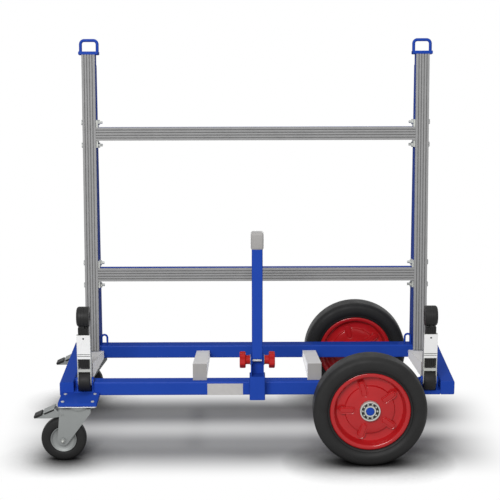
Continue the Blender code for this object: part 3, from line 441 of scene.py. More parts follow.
def copied(piece, name, offset, turn=None):
    """A copy of a finished piece with its own mesh."""
    made = piece.copy()
    made.data = piece.data.copy()
    made.name = name
    bpy.context.collection.objects.link(made)
    return place(made, offset, turn)


def joined(name, pieces):
    """Several pieces as one object."""
    deselect()
    for piece in pieces:
        piece.select_set(True)
    bpy.context.view_layer.objects.active = pieces[0]
    bpy.ops.object.join()
    made = bpy.context.active_object
    made.name = name
    return made


def done(piece, body, slot, look=None, replaced=()):
    """Finish a piece: its material, the body it rides on and what it stands for."""
    piece.data.materials.clear()
    piece.data.materials.append(materials[look or slot])
    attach(piece, body)
    if replaced:
        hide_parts(*replaced)
    return piece


materials = {}


# What a user may change

def colour_setting(label, meaning, value):
    """A colour, as an sRGB hex value."""
    return bpy.props.StringProperty(name=label, description=meaning, default=value)


def length_setting(label, meaning, value):
    """A length."""
    return bpy.props.FloatProperty(
        name=label, description=meaning, default=value, unit="LENGTH"
    )


def count_setting(label, meaning, value):
    """A number of pieces."""
    return bpy.props.IntProperty(name=label, description=meaning, default=value)


class BuggyLooks(bpy.types.PropertyGroup):
    """Colours of the finishes, as sRGB hex values."""

    blue: colour_setting("Blue", "Paint of the frame", "#284DB2")
    blue_deep: colour_setting("Deep blue", "Paint in its darker patches", "#2447A8")
    red: colour_setting("Red", "Enamel of the rims", "#C02024")
    red_deep: colour_setting("Deep red", "Enamel in its darker patches", "#AE1A1E")
    knob_red: colour_setting("Knob red", "Nylon of the knobs", "#B8241D")
    strip_grey: colour_setting("Strip grey", "Ribbed rubber", "#A2A2A2")
    strip_deep: colour_setting(
        "Strip deep grey", "Ribbed rubber in its darker patches", "#979797"
    )
    pad_pale: colour_setting("Pad pale", "Support bars and post cap", "#ADABA9")
    pad_deep: colour_setting("Pad deep", "Support bars in their darker patches", "#A4A2A0")
    tyre_black: colour_setting("Tyre black", "Tyre rubber", "#272727")
    tyre_deep: colour_setting("Tyre deep black", "Tyre rubber in its darker patches", "#1E1E1E")
    zinc_grey: colour_setting("Zinc grey", "Dull zinc", "#898C8B")
    zinc_light: colour_setting("Zinc light", "Dull zinc in its lighter patches", "#949796")
    zinc_bright: colour_setting("Zinc bright", "Bright zinc", "#E6E8EA")
    zinc_white: colour_setting("Zinc white", "Bright zinc in its lighter patches", "#F2F3F4")
    # Painted shade in the gaps of the bearings and the covers
    gap_shade_dark: colour_setting("Bearing dark", "Inside the bearings", "#1C2422")
    cover_white: colour_setting("Cover white", "Arm covers", "#FBFBFB")
    cover_pale: colour_setting("Cover pale", "Arm covers in their darker patches", "#F1F1F0")
    arm_grey: colour_setting("Arm grey", "Side plates of the arms", "#B9BBB6")
    arm_light: colour_setting(
        "Arm light", "Side plates of the arms in their lighter patches", "#C6C8C3"
    )
    plate_grey: colour_setting("Plate grey", "Bare plate on the rail", "#B4B2B0")
    plate_light: colour_setting("Plate light", "Bare plate in its lighter patches", "#C4C2C0")


class BuggySizes(bpy.types.PropertyGroup):
    """Sizes of the details that the frame doesn't hold."""

    rim_radius: length_setting("Rim radius", "Outer radius of a rim", 0.1415)
    hub_radius: length_setting("Hub radius", "Outer radius of a hub ring", 0.0358)
    rib_length: length_setting("Rib length", "Length of a pressed rib on a rim", 0.060)
    rib_width: length_setting("Rib width", "Width of a pressed rib on a rim", 0.027)
    rib_count: count_setting("Ribs", "Pressed ribs on a rim", 5)
    bearing_rollers: count_setting("Bearing rollers", "Rollers that show in a hub", 10)
    knob_lobes: count_setting("Knob lobes", "Lobes of a star knob", 5)


class BuggyOperator:
    """Shared settings of the operators."""

    bl_options = {"REGISTER", "UNDO"}

    @property
    def sizes(self):
        """The sizes set on the scene."""
        return bpy.context.scene.buggy_sizes


# The frame's own pieces

class BUGGY_OT_finishes(BuggyOperator, bpy.types.Operator):
    """Give every frame piece its finish"""

    bl_idname = "buggy.finishes"
    bl_label = "Finishes"

    def execute(self, context):
        materials.update(make_materials(context.scene.buggy_looks))
        for part in frame["record"]["subparts"]:
            piece = nodes[part["node"]]
            piece.data.materials.clear()
            piece.data.materials.append(materials[part["material_slot"]])
        for side in SIDES:
            for node in (f"lower_{side}_flange", f"upper_{side}_flange", f"{side}_arm_frame"):
                nodes[node].data.materials[0] = materials["arm_zinc"]
        return {"FINISHED"}


# Large wheels

class BUGGY_OT_large_wheels(BuggyOperator, bpy.types.Operator):
    """Model the two large wheels and their axle: tyre, pressed rim and hub bearing"""

    bl_idname = "buggy.large_wheels"
    bl_label = "Large wheels"

    def tyre(self, side):
        """A solid tyre: bead, bulged wall with a moulded line, round shoulder and flat tread."""
        size = extent(f"{side}_tyre")
        bead = self.sizes.rim_radius + 0.0006
        profile = tyre_profile(
            bead, size.x / 2, size.y / 2, TYRE_WALL_SHARES, TYRE_SHOULDER_SHARES, steps=8,
            tread_share=0.25,
        )
        piece = turned(f"{side}_tyre_moulded", profile, "Y", middle(f"{side}_tyre"), 96)
        done(piece, f"{side}_wheel", "black_rubber", replaced=[f"{side}_tyre"])

    def rim(self, side):
        """A pressed rim: rolled lip, well, stepped disc and radial ribs on each face."""
        sizes = self.sizes
        centre = middle(f"{side}_rim")
        half = extent(f"{side}_rim").y / 2
        bore = sizes.hub_radius + 0.0004
        outer = [(bore, half * 0.50)]
        outer += [(radius, half * share) for radius, share in RIM_FACE]
        outer.append((sizes.rim_radius, half * 0.90))
        pieces = [turned(f"{side}_rim_pressed", mirrored(outer), "Y", centre, 96)]
        rib = self.rib(height=half * 0.16)
        rib_ring, first_rib, seat = 0.0800, math.radians(36.0), half * 0.36
        for face in (-1, 1):
            for k in range(sizes.rib_count):
                angle = first_rib + math.tau * k / sizes.rib_count
                spot = centre + round_wheel(angle, rib_ring, face * seat)
                outwards = Matrix.Rotation(-face * math.pi / 2, 4, "X")
                turn = outwards @ Matrix.Rotation(-face * angle, 4, "Z")
                pieces.append(copied(rib, "rib", spot, turn))
        bpy.data.objects.remove(rib, do_unlink=True)
        made = joined(f"{side}_rim_pressed", pieces)
        done(made, f"{side}_wheel", "red_paint", replaced=[f"{side}_rim"])

    def rib(self, height):
        """A pressed rib: a rounded bar along X with a raised edge and a sunk middle."""
        length, width = self.sizes.rib_length, self.sizes.rib_width
        reach, radius = (length - width) / 2, width / 2
        outline = arc((reach, 0.0), radius, radius, -90, 90, 8)
        outline += arc((-reach, 0.0), radius, radius, 90, 270, 8)
        rib = traced("rib", [(x, y, -height / 2) for x, y in outline])
        bpy.ops.mesh.edge_face_add()
        rise = (0.0, 0.0, height * 1.2)
        bpy.ops.mesh.extrude_region_move(TRANSFORM_OT_translate={"value": rise})
        bpy.ops.mesh.inset(thickness=0.0022, depth=0.0014)
        bpy.ops.mesh.inset(thickness=0.0018, depth=0.0)
        bpy.ops.mesh.inset(thickness=0.0022, depth=-0.0030)
        bpy.ops.object.mode_set(mode="OBJECT")
        return close_up(rib, 30.0)

    def hub(self, side):
        """A hub sleeve with an open roller bearing at each end, and a dark ring of painted shade in
        each bearing's gap.
        """
        sizes = self.sizes
        centre = middle(f"{side}_hub")
        half = extent(f"{side}_hub").y / 2
        outer, seat, recess, edge = sizes.hub_radius, 0.0305, 0.006, 0.0012
        race_bore, race_radius, race_face = 0.0153, 0.0205, half - 0.002
        sleeve = [
            (seat, half - recess), (seat, half - 0.0010), (seat + 0.0010, half),
            (outer - edge, half), (outer, half - edge),
        ]
        ring = turned(f"{side}_hub_ring", mirrored(sleeve), "Y", centre, 64)
        race_line = [(race_bore, race_face), (race_radius, race_face), (race_radius, half - recess)]
        race = turned(f"{side}_hub_race", mirrored(race_line), "Y", centre, 48)
        ring_radius, radius, length = 0.0255, 0.0029, 0.0050
        roller_line = [
            (0.0, 0.0), (radius - 0.0003, 0.0), (radius, 0.0003), (radius, length), (0.0, length),
        ]
        model = turned("roller", roller_line, "Y", ORIGIN, 16)
        floor_of_gap = half - 0.0062
        rollers = []
        for face in (-1, 1):
            for k in range(sizes.bearing_rollers):
                angle = math.tau * k / sizes.bearing_rollers
                spot = round_wheel(angle, ring_radius, face * floor_of_gap + length / 2)
                rollers.append(copied(model, "roller", centre + spot))
        bpy.data.objects.remove(model, do_unlink=True)
        made = joined(f"{side}_hub_bearing", [ring, race, *rollers])
        done(made, f"{side}_wheel", "zinc", "arm_zinc", replaced=[f"{side}_hub"])
        # Painted shade: a dark ring at the floor of each bearing's gap, where there is only shade
        gap_line = [(race_radius + 0.0001, floor_of_gap), (seat - 0.0001, floor_of_gap)]
        gap = turned(f"{side}_hub_gap_shade", mirrored(gap_line), "Y", centre, 48)
        done(gap, f"{side}_wheel", "zinc", "gap_shade_dark")

    def execute(self, context):
        for side in WHEELS:
            self.tyre(side)
            self.rim(side)
            self.hub(side)
        size = extent("wheel_axle")
        radius, half, edge = size.x / 2 - 0.0002, size.y / 2 - 0.0002, 0.0016
        shaft = mirrored([(0.0, half), (radius - edge, half), (radius, half - edge)])
        piece = turned("axle_bar", shaft, "Y", middle("wheel_axle"), 48)
        done(piece, "base", "blue_paint", replaced=["wheel_axle"])
        return {"FINISHED"}


# Castors

class BUGGY_OT_castors(BuggyOperator, bpy.types.Operator):
    """Model the castor wheels, their plates, bolts and nuts, and the brake pedals"""

    bl_idname = "buggy.castors"
    bl_label = "Castors"

    def wheel(self, side):
        """A moulded tyre on a pressed disc with a boss."""
        centre = middle(f"{side}_castor_tyre")
        half = extent(f"{side}_castor_tyre").y / 2
        bead, radius = 0.0463, 0.080
        profile = tyre_profile(
            bead, radius, half, CASTOR_WALL_SHARES, CASTOR_SHOULDER_SHARES, steps=7,
            tread_share=0.2,
        )
        tyre = turned(f"{side}_castor_tyre_moulded", profile, "Y", centre, 80)
        done(tyre, f"{side}_castor_wheel", "black_rubber", replaced=[f"{side}_castor_tyre"])
        boss = extent(f"{side}_castor_hub").y / 2
        disc = [(0.0063, boss), (0.0125, boss), (0.0138, boss - 0.0015)]
        disc += [(radius, half * share) for radius, share in CASTOR_FACE]
        hub = turned(f"{side}_castor_disc", mirrored(disc), "Y", centre, 72)
        done(hub, f"{side}_castor_wheel", "zinc", replaced=[f"{side}_castor_hub"])

    def plate(self, side):
        """The castor's top plate, with a bolt head over each of its corners."""
        low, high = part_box(f"{side}_castor_top")
        centre = middle(f"{side}_castor_top")
        bolt_x, bolt_y, bolt_z = 0.0525, 0.040, high.z - 0.0048
        head = slab("bolt_head", hexagon(0.0110), thickness=0.0036, bevel=0.0007, segments=2)
        heads = []
        for dx, dy in ((-1, -1), (-1, 1), (1, -1), (1, 1)):
            spot = (centre.x + dx * bolt_x, centre.y + dy * bolt_y, bolt_z)
            heads.append(copied(head, "bolt", spot))
        outline = rounded_rectangle(high.x - low.x, high.y - low.y, corner=0.010)
        plate = slab(
            f"{side}_castor_plate_pressed", outline, thickness=0.0048, bevel=0.0012, segments=2
        )
        place(plate, (centre.x, centre.y, low.z + 0.0025))
        bpy.data.objects.remove(head, do_unlink=True)
        done(joined(f"{side}_castor_bolts", heads), "base", "zinc", "arm_zinc")
        done(plate, "base", "zinc", "bright_zinc", replaced=[f"{side}_castor_top"])

    def nut(self, side):
        """The axle with a domed nut at each end."""
        face = extent(f"{side}_castor_fork").y / 2
        dome = [(0.0, 0.0036), (0.0020, 0.0034), (0.0040, 0.0020), (0.0050, 0.0)]
        profile = mirrored([(radius, face + rise) for radius, rise in dome])
        nut = turned(f"{side}_castor_nut", profile, "Y", middle(f"{side}_castor_hub"), 28)
        done(nut, f"{side}_swivel", "zinc", "arm_zinc")

    def band(self, start, end, top, bottom):
        """A band on the pedal's slope, between two shares of its length and two depths."""
        tip, ridge = Vector((-0.104, -0.009)), Vector((-0.027, 0.026))
        slope = (ridge - tip).normalized()
        down = Vector((slope.y, -slope.x))
        first, last = tip.lerp(ridge, start), tip.lerp(ridge, end)
        corners = ((first, top), (last, top), (last, bottom), (first, bottom))
        return [tuple(corner + down * depth) for corner, depth in corners]

    def pedal(self, side):
        """A pressed lever on a pin, with a black tread at its tip and a plate on its slope."""
        low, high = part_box(f"{side}_castor_pedal")
        width, reach, rise = 0.044, 0.104, 0.017
        pin = Vector((low.x + reach, (low.y + high.y) / 2, low.z + rise))
        lever_line = [
            (0.009, -0.009), (0.009, 0.009), (-0.019, 0.009), (-0.0268, 0.0185),
            (-0.1000, -0.0148), (-0.0965, -0.0168), (-0.052, -0.0168),
        ]
        pin_line = mirrored([(0.0, 0.0275), (0.0036, 0.0275), (0.0039, 0.0272)])
        lever = slab("lever", lever_line, width * 0.80, bevel=0.0012, segments=2)
        pin_bar = turned("lever_pin", pin_line, "Z", ORIGIN, 24)
        tread_line = self.band(0.0, 0.37, top=0.0, bottom=0.0085)
        cover_line = self.band(0.43, 0.97, top=0.0, bottom=0.0050)
        pad_line = self.band(0.46, 0.90, top=0.0052, bottom=0.0100)
        tread = slab("plate", tread_line, width, bevel=0.0020, segments=4)
        cover = slab("plate", cover_line, width, bevel=0.0020, segments=4)
        pad = slab("pad", pad_line, width * 0.94, bevel=0.0010, segments=2)
        for piece in (lever, pin_bar, tread, cover, pad):
            place(piece, pin, lay_along["Y"])
        metal = joined(f"{side}_pedal_lever", [lever, pin_bar, cover])
        done(metal, f"{side}_pedal", "zinc", replaced=[f"{side}_castor_pedal"])
        done(joined(f"{side}_pedal_treads", [tread, pad]), f"{side}_pedal", "black_rubber")

    def execute(self, context):
        for side in WHEELS:
            self.wheel(side)
            self.plate(side)
            self.nut(side)
            self.pedal(side)
        return {"FINISHED"}


# Post, knobs and arms

class BUGGY_OT_knobs(BuggyOperator, bpy.types.Operator):
    """Model the two star knobs and their washers"""

    bl_idname = "buggy.knobs"
    bl_label = "Star knobs"

    def star(self):
        """The lobed outline of a knob's head."""
        lobes, mean_radius, swing = self.sizes.knob_lobes, 0.0272, 0.0034
        outline = []
        for k in range(lobes * 12):
            angle = math.tau * k / (lobes * 12)
            reach = mean_radius + swing * math.cos(lobes * angle)
            outline.append((reach * math.cos(angle), reach * math.sin(angle)))
        return outline

    def execute(self, context):
        head_length, bore, eye, collar, thickness = 0.0215, 0.0060, 0.0080, 0.0190, 0.0020
        for side, way in (("left", -1), ("right", 1)):
            low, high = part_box(f"{side}_knob")
            centre = middle(f"{side}_knob")
            start, end = (low.x, high.x) if way > 0 else (high.x, low.x)
            turn = Matrix.Rotation(way * math.pi / 2, 4, "Y")
            head = slab("knob_head", self.star(), head_length, bevel=0.004, segments=4)
            place(head, (end - way * head_length / 2, centre.y, centre.z), lay_along["X"])
            neck_end = high.x - low.x - head_length + 0.002
            neck_line = [
                (bore, 0.0), (0.0150, 0.0), (0.0160, 0.0010), (0.0160, neck_end * 0.7),
                (0.0172, neck_end), (bore, neck_end),
            ]
            neck = turned("knob_neck", neck_line, "Z", ORIGIN, 40)
            place(neck, (start, centre.y, centre.z), turn)
            made = joined(f"{side}_star_knob", [head, neck])
            done(close_up(made, 40.0), f"{side}_clamp", "red_plastic", replaced=[f"{side}_knob"])
            washer_line = [
                (eye, 0.0), (collar - 0.0004, 0.0), (collar, 0.0004), (collar, thickness),
                (eye, thickness),
            ]
            washer = turned(f"{side}_knob_washer", washer_line, "Z", ORIGIN, 40)
            place(washer, (start + way * 0.0001, centre.y, centre.z), turn)
            done(washer, f"{side}_clamp", "bright_zinc", "zinc")
        return {"FINISHED"}


class BUGGY_OT_rollers(BuggyOperator, bpy.types.Operator):
    """Model the rollers of the two folding arms"""

    bl_idname = "buggy.rollers"
    bl_label = "Arm rollers"

    def guide(self, side):
        """The upper roller: two drums, rounder outside, with a web of the arm between them."""
        centre = middle(f"{side}_top_roller")
        half = extent(f"{side}_top_roller").x / 2
        radius, bore, slot = 0.0358, 0.0101, 0.0046
        outside = -1 if side == "left" else 1
        drums = []
        for way in (-1, 1):
            edge = 0.009 if way == outside else 0.0022
            outline = [(0.0, 0.0), (bore, 0.0), (bore, slot), (radius, slot)]
            outline += arc((radius - edge, half - edge), edge, edge, 0, 90, 6)
            outline += [(0.0165, half), (0.0145, half - 0.002), (0.0, half - 0.002)]
            profile = [(reach, way * along) for reach, along in outline]
            drums.append(turned(f"{side}_roller_disc", profile, "X", centre, 56))
        made = joined(f"{side}_guide_drum", drums)
        done(made, f"{side}_guide_roller", "black_rubber", replaced=[f"{side}_top_roller"])
        web_half = slot - 0.0004
        web_line = mirrored([(bore + 0.0003, web_half), (radius, web_half)])
        web = turned(f"{side}_roller_web", web_line, "X", centre, 56)
        done(web, f"{side}_arm", "black_rubber")

    def load(self, side):
        """The lower roller: one plain drum with a raised boss."""
        half, radius = extent(f"{side}_bottom_roller").x / 2, 0.0363
        drum = mirrored(
            [
                (0.0063, half - 0.001), (0.0140, half - 0.001), (0.0150, half),
                (radius - 0.004, half), (radius - 0.0012, half - 0.0012),
                (radius, half - 0.004), (radius, half * 0.3),
            ]
        )
        piece = turned(f"{side}_load_drum", drum, "X", middle(f"{side}_bottom_roller"), 56)
        done(piece, f"{side}_load_roller", "black_rubber", replaced=[f"{side}_bottom_roller"])

    def execute(self, context):
        for side in SIDES:
            self.guide(side)
            self.load(side)
        return {"FINISHED"}


class BUGGY_OT_covers(BuggyOperator, bpy.types.Operator):
    """Model the arms' lacquered covers, each with a dark disc painted as the shade of its hole and
    two dark strips painted as the shade of its two gaps
    """

    bl_idname = "buggy.covers"
    bl_label = "Arm covers"

    def strips(self, side, name, spans, width, thickness, lift, bevel, segments):
        """Strips across an arm's front, each between two depths under the arm's top."""
        low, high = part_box(f"{side}_arm_frame")
        made = []
        for start, end in spans:
            outline = rectangle(width, end - start)
            strip = slab(name, outline, thickness, bevel, segments)
            spot = ((low.x + high.x) / 2, low.y - lift, high.z - (start + end) / 2)
            made.append(place(strip, spot, lay_along["Y"]))
        return made

    def execute(self, context):
        width, thickness = 0.0476, 0.0006
        covers = ((0.0002, 0.0700), (0.0722, 0.0765), (0.0787, 0.0876))
        gaps = ((0.0702, 0.0720), (0.0767, 0.0785))
        for side in SIDES:
            plates = self.strips(
                side, "cover", covers, width, thickness, lift=0.0002, bevel=0.00015, segments=2
            )
            done(joined(f"{side}_arm_cover", plates), f"{side}_arm", "bright_zinc", "cover_white")
            # Painted shade: dark strips where the gaps between the cover plates would be in shadow,
            # and a dark disc for the shade of the hole
            shade_marks = self.strips(
                side, "gap", gaps, width - 0.004, thickness * 0.8, lift=0.0001, bevel=0.0001,
                segments=1,
            )
            low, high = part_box(f"{side}_arm_frame")
            face = thickness * 0.6
            hole_line = mirrored([(0.0, face), (0.0030, face), (0.0033, thickness * 0.4)])
            spot = ((low.x + high.x) / 2, low.y - 0.0003, high.z - 0.0125)
            shade_marks.append(turned("hole", hole_line, "Y", spot, 28))
            done(joined(f"{side}_cover_painted_shade", shade_marks), f"{side}_arm", "bright_zinc", "gap_shade_dark")
        return {"FINISHED"}


class BUGGY_OT_trim(BuggyOperator, bpy.types.Operator):
    """Model the handles, top plates, hooks, strip ends, post cap and the bare plate"""

    bl_idname = "buggy.trim"
    bl_label = "Handles, hooks, cap and plate"

    def loop(self, low, high, bar, bend, lean, foot, lift):
        """Points of a bent loop between the corners of a box, leaning back from its foot."""
        left, right, top, bottom = low.x + bar, high.x - bar, high.z - bar, low.z + lift
        outline = [(left, bottom)]
        outline += arc((left + bend, top - bend), bend, bend, 180, 90, 8)
        outline += arc((right - bend, top - bend), bend, bend, 90, 0, 8)
        outline.append((right, bottom))
        return [(x, foot + (z - low.z) * math.tan(lean), z) for x, z in outline]

    def handle(self, side):
        """A bent handle on an upright, a little lower than the frame's."""
        low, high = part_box(f"{side}_handle")
        bar, bend, lowered = 0.0058, 0.014, Vector((0.0, 0.0, 0.0040))
        points = self.loop(
            low, high - lowered, bar, bend, UPRIGHT_LEAN, foot=low.y + bar * 1.02, lift=bar * 0.1
        )
        piece = round_bar(f"{side}_loop_handle", points, bar)
        done(piece, "base", "blue_paint", replaced=[f"{side}_handle"])

    def top_plate(self, side):
        """The plate over an upright's top end, as wide as its handle."""
        low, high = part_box(f"{side}_handle")
        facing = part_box(f"{side}_upright_facing")[1]
        front, back = facing.y - 0.0113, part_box(f"{side}_upright")[1].y
        height = 0.0120
        outline = rectangle(high.x - low.x - 0.001, back - front)
        plate = slab(f"{side}_top_plate", outline, height, bevel=0.0015, segments=3)
        spot = ((low.x + high.x) / 2, (front + back) / 2, facing.z - 0.0022 - height / 2)
        place(plate, spot, Matrix.Rotation(-UPRIGHT_LEAN, 4, "X"))
        done(plate, "base", "blue_paint")

    def hook(self, side):
        """A small round loop on the rear rail."""
        low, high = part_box(f"{side}_hook")
        bar = 0.0039
        bend = (high.x - low.x) / 2 - bar
        points = self.loop(low, high, bar, bend, 0.0, foot=(low.y + high.y) / 2, lift=0.0)
        piece = round_bar(f"{side}_rope_hook", points, bar)
        done(piece, "base", "blue_paint", replaced=[f"{side}_hook"])

    def facing_foot(self, side):
        """The lower end of an upright's ribbed strip, in front of the rear rail."""
        drop, half, thickness = 0.0140, 0.025, 0.010
        pitch, groove, depth = 0.010, 0.0034, 0.003
        line = [(-half, 0.0), (-half, -thickness)]
        for k in range(1, 5):
            spot = k * pitch - half
            line += [
                (spot - groove / 2, -thickness), (spot - groove / 4, depth - thickness),
                (spot + groove / 4, depth - thickness), (spot + groove / 2, -thickness),
            ]
        line += [(half, -thickness), (half, 0.0)]
        foot = slab(f"{side}_facing_foot", line, drop)
        low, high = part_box(f"{side}_upright_facing")
        turn = Matrix.Rotation(-UPRIGHT_LEAN, 4, "X")
        back = low.y + thickness * math.cos(UPRIGHT_LEAN)
        seat = Vector(((low.x + high.x) / 2, back, low.z - 0.0002))
        place(foot, seat + turn @ Vector((0.0, 0.0, -drop / 2)), turn)
        done(foot, "base", "grey_rubber")

    def cap(self):
        """The post's sleeve: a square block with rounded edges, cut flat at its foot."""
        low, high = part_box("post_cap")
        width, height, cut, middle_z = high.x - low.x, 0.0610, -0.0300, 0.7895
        cap = slab("post_sleeve", rectangle(width, width), height)
        only(cap)
        bpy.ops.object.mode_set(mode="EDIT")
        bpy.ops.mesh.select_all(action="SELECT")
        bpy.ops.mesh.bisect(
            plane_co=(0.0, 0.0, cut), plane_no=(0.0, 0.0, 1.0), clear_inner=True
        )
        bpy.ops.mesh.edge_face_add()
        bpy.ops.object.mode_set(mode="OBJECT")
        for edge in cap.data.edges:
            ends = [cap.data.vertices[k].co for k in edge.vertices]
            edge.use_edge_sharp = all(end.z < cut * 2 / 3 for end in ends)
        bevelled(cap, width=0.008, segments=5)
        place(cap, ((low.x + high.x) / 2, (low.y + high.y) / 2, middle_z))
        done(close_up(cap, 50.0), "stake", "pale_rubber", replaced=["post_cap"])

    def bare_plate(self):
        """A thin plate on the front rail, left of the post."""
        outline = rectangle(width=0.127, height=0.043)
        plate = slab("bare_plate", outline, thickness=0.0006, bevel=0.0002, segments=2)
        rail_front = Vector((-0.0720, -0.2404, 0.2375))
        place(plate, rail_front, lay_along["Y"])
        done(plate, "base", "zinc", "bare_plate")

    def execute(self, context):
        for side in SIDES:
            self.handle(side)
            self.top_plate(side)
            self.hook(side)
        for side in SIDES:
            self.facing_foot(side)
        self.cap()
        self.bare_plate()
        return {"FINISHED"}


# Floor, light and camera

class BUGGY_OT_stage(BuggyOperator, bpy.types.Operator):
    """Set the floor, the light and the camera"""

    bl_idname = "buggy.stage"
    bl_label = "Stage"

    def floor(self):
        """A white floor with a painted grey shadow under the buggy and painted dark shade where the
        wheels touch it.
        """
        deselect()
        bpy.ops.mesh.primitive_plane_add(size=60.0, location=ORIGIN)
        floor = bpy.context.active_object
        floor.name = "floor"
        made, tree, output = new_material("white_floor_painted_shadow")
        spot = add_node(tree, "ShaderNodeTexCoord").outputs["Object"]
        axes = add_node(tree, "ShaderNodeSeparateXYZ", {"Vector": spot})
        # Shares of the painted shadow that fall from 1 to 0: along the buggy, across it and between
        # its rails
        shares = []
        for axis, offset, near, far in (
            ("X", -0.03, 0.62, 0.96), ("Y", 0.02, 0.22, 0.47), ("Y", 0.01, 0.0, 0.14),
        ):
            shifted = add_node(
                tree, "ShaderNodeMath", {0: axes.outputs[axis], 1: offset}, operation="ADD"
            ).outputs["Value"]
            reach = add_node(
                tree, "ShaderNodeMath", {0: shifted}, operation="ABSOLUTE"
            ).outputs["Value"]
            shares.append(
                add_node(
                    tree, "ShaderNodeMapRange",
                    {
                        "Value": reach, "From Min": near, "From Max": far,
                        "To Min": 1.0, "To Max": 0.0,
                    },
                    interpolation_type="SMOOTHSTEP",
                ).outputs["Result"]
            )
        along, across, between = shares
        # Painted light: the painted shadow is weaker between the rails, as if light fell through
        # the open frame
        painted_light_between_rails = add_node(
            tree, "ShaderNodeMapRange", {"Value": between, "To Min": 1.0, "To Max": 0.62}
        ).outputs["Result"]
        shade = add_node(
            tree, "ShaderNodeMath", {0: along, 1: across}, operation="MULTIPLY"
        ).outputs["Value"]
        under = add_node(
            tree, "ShaderNodeMath", {0: shade, 1: painted_light_between_rails}, operation="MULTIPLY"
        ).outputs["Value"]
        # Painted contact shade: ambient occlusion darkens the floor's colour near the wheels, so it
        # follows them at every pose
        contact_reach = 0.17
        occlusion_for_painted_shade = add_node(
            tree, "ShaderNodeAmbientOcclusion", {"Distance": contact_reach}, samples=8
        ).outputs["AO"]
        painted_contact_shade = add_node(
            tree, "ShaderNodeMath", {0: occlusion_for_painted_shade, 1: 4.0}, operation="POWER"
        ).outputs["Value"]
        # Painted shade colour: black at the wheels' contact, grey in the painted shadow under the
        # buggy
        tone = add_node(
            tree, "ShaderNodeMix", {"Factor": painted_contact_shade, "A": CONTACT_SHADE_BLACK, "B": PAINTED_SHADOW_GREY}, data_type="RGBA"
        ).outputs["Result"]
        # White to the eye and in reflections, outside the painted shade
        path = add_node(tree, "ShaderNodeLightPath")
        seen = add_node(
            tree, "ShaderNodeMath",
            {0: path.outputs["Is Camera Ray"], 1: path.outputs["Is Glossy Ray"]},
            operation="MAXIMUM",
        ).outputs["Value"]
        clear = add_node(
            tree, "ShaderNodeMath", {0: 1.0, 1: under}, operation="SUBTRACT"
        ).outputs["Value"]
        white_share = add_node(
            tree, "ShaderNodeMath", {0: clear, 1: painted_contact_shade}, operation="MULTIPLY"
        ).outputs["Value"]
        bright = add_node(
            tree, "ShaderNodeMath", {0: white_share, 1: seen}, operation="MULTIPLY"
        ).outputs["Value"]
        matt = add_node(tree, "ShaderNodeBsdfDiffuse", {"Color": tone}).outputs["BSDF"]
        white = add_node(
            tree, "ShaderNodeEmission", {"Color": WHITE, "Strength": 1.0}
        ).outputs["Emission"]
        both = add_node(tree, "ShaderNodeMixShader", {"Fac": bright, 1: matt, 2: white})
        tree.links.new(both.outputs["Shader"], output.inputs["Surface"])
        floor.data.materials.append(made)

    def world(self):
        """An even white room: plain white to the eye, dimmer as a light."""
        world = bpy.data.worlds.new("white_room")
        bpy.context.scene.world = world
        world.use_nodes = True
        tree = world.node_tree
        tree.nodes.clear()
        output = tree.nodes.new("ShaderNodeOutputWorld")
        path = add_node(tree, "ShaderNodeLightPath")
        direct = add_node(
            tree, "ShaderNodeMath",
            {0: path.outputs["Is Camera Ray"], 1: path.outputs["Is Transmission Ray"]},
            operation="MAXIMUM",
        ).outputs["Value"]
        seen = add_node(
            tree, "ShaderNodeMath", {0: direct, 1: path.outputs["Is Glossy Ray"]},
            operation="MAXIMUM",
        ).outputs["Value"]
        strength = add_node(
            tree, "ShaderNodeMapRange", {"Value": seen, "To Min": 0.32, "To Max": 1.0}
        ).outputs["Result"]
        sky = add_node(tree, "ShaderNodeBackground", {"Color": WHITE, "Strength": strength})
        tree.links.new(sky.outputs["Background"], output.inputs["Surface"])

    def light(self, name, place_at, aim, size, power):
        """One large soft lamp."""
        lamp = bpy.data.lights.new(name, "AREA")
        lamp.shape = "RECTANGLE"
        lamp.size, lamp.size_y = size
        lamp.energy = power
        holder = bpy.data.objects.new(name, lamp)
        bpy.context.scene.collection.objects.link(holder)
        way = Vector(aim) - Vector(place_at)
        holder.location = place_at
        holder.rotation_euler = way.to_track_quat("-Z", "Y").to_euler()

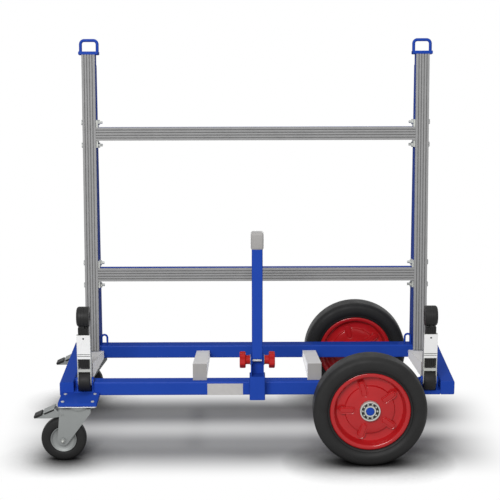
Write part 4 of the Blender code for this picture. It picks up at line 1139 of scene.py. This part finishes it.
    def camera(self):
        """The camera at the photograph's viewing angle."""
        data = bpy.data.cameras.new("camera")
        data.lens = 98.608
        data.sensor_width = 36.0
        holder = bpy.data.objects.new("camera", data)
        bpy.context.scene.collection.objects.link(holder)
        pitch, yaw, roll = (math.radians(angle) for angle in (13.55, 0.22, -0.13))
        ahead = Vector(
            (math.sin(yaw) * math.cos(pitch), math.cos(yaw) * math.cos(pitch), -math.sin(pitch))
        )
        right = Vector((math.cos(yaw), -math.sin(yaw), 0.0))
        up = right.cross(ahead)
        side = right * math.cos(roll) + up * math.sin(roll)
        top = up * math.cos(roll) - right * math.sin(roll)
        turn = Matrix((side, top, -ahead)).transposed().to_4x4()
        stand = Matrix.Translation((0.0, -4.8799, 1.8673))
        holder.matrix_world = stand @ turn
        bpy.context.scene.camera = holder

    def execute(self, context):
        context.scene.view_settings.view_transform = "Standard"
        self.floor()
        self.world()
        self.light("key", (-0.9, -5.2, 3.4), aim=(0.0, 0.0, 0.5), size=(2.6, 2.0), power=235.0)
        self.light("top", (0.2, 0.1, 4.4), aim=(0.0, 0.0, 0.3), size=(1.4, 1.0), power=24.0)
        self.camera()
        return {"FINISHED"}


class BUGGY_PT_panel(bpy.types.Panel):
    """The buggy's steps in the sidebar"""

    bl_idname = "BUGGY_PT_panel"
    bl_label = "Slab buggy"
    bl_space_type = "VIEW_3D"
    bl_region_type = "UI"
    bl_category = "Slab buggy"

    def draw(self, context):
        for step in steps:
            self.layout.operator(step.bl_idname)
        for group in (context.scene.buggy_sizes, context.scene.buggy_looks):
            for key in group.bl_rna.properties.keys():
                if key not in ("rna_type", "name"):
                    self.layout.prop(group, key)


steps = (
    BUGGY_OT_finishes,
    BUGGY_OT_large_wheels,
    BUGGY_OT_castors,
    BUGGY_OT_knobs,
    BUGGY_OT_rollers,
    BUGGY_OT_covers,
    BUGGY_OT_trim,
    BUGGY_OT_stage,
)
classes = (BuggyLooks, BuggySizes, *steps, BUGGY_PT_panel)


def register():
    """Register the classes and hang the settings on the scene."""
    for made in classes:
        bpy.utils.register_class(made)
    bpy.types.Scene.buggy_looks = bpy.props.PointerProperty(type=BuggyLooks)
    bpy.types.Scene.buggy_sizes = bpy.props.PointerProperty(type=BuggySizes)


def unregister():
    """Undo register."""
    del bpy.types.Scene.buggy_sizes
    del bpy.types.Scene.buggy_looks
    for made in reversed(classes):
        bpy.utils.unregister_class(made)


def main():
    """Run every step in order."""
    register()
    bpy.ops.buggy.finishes()
    bpy.ops.buggy.large_wheels()
    bpy.ops.buggy.castors()
    bpy.ops.buggy.knobs()
    bpy.ops.buggy.rollers()
    bpy.ops.buggy.covers()
    bpy.ops.buggy.trim()
    bpy.ops.buggy.stage()


if __name__ == "__main__":
    main()
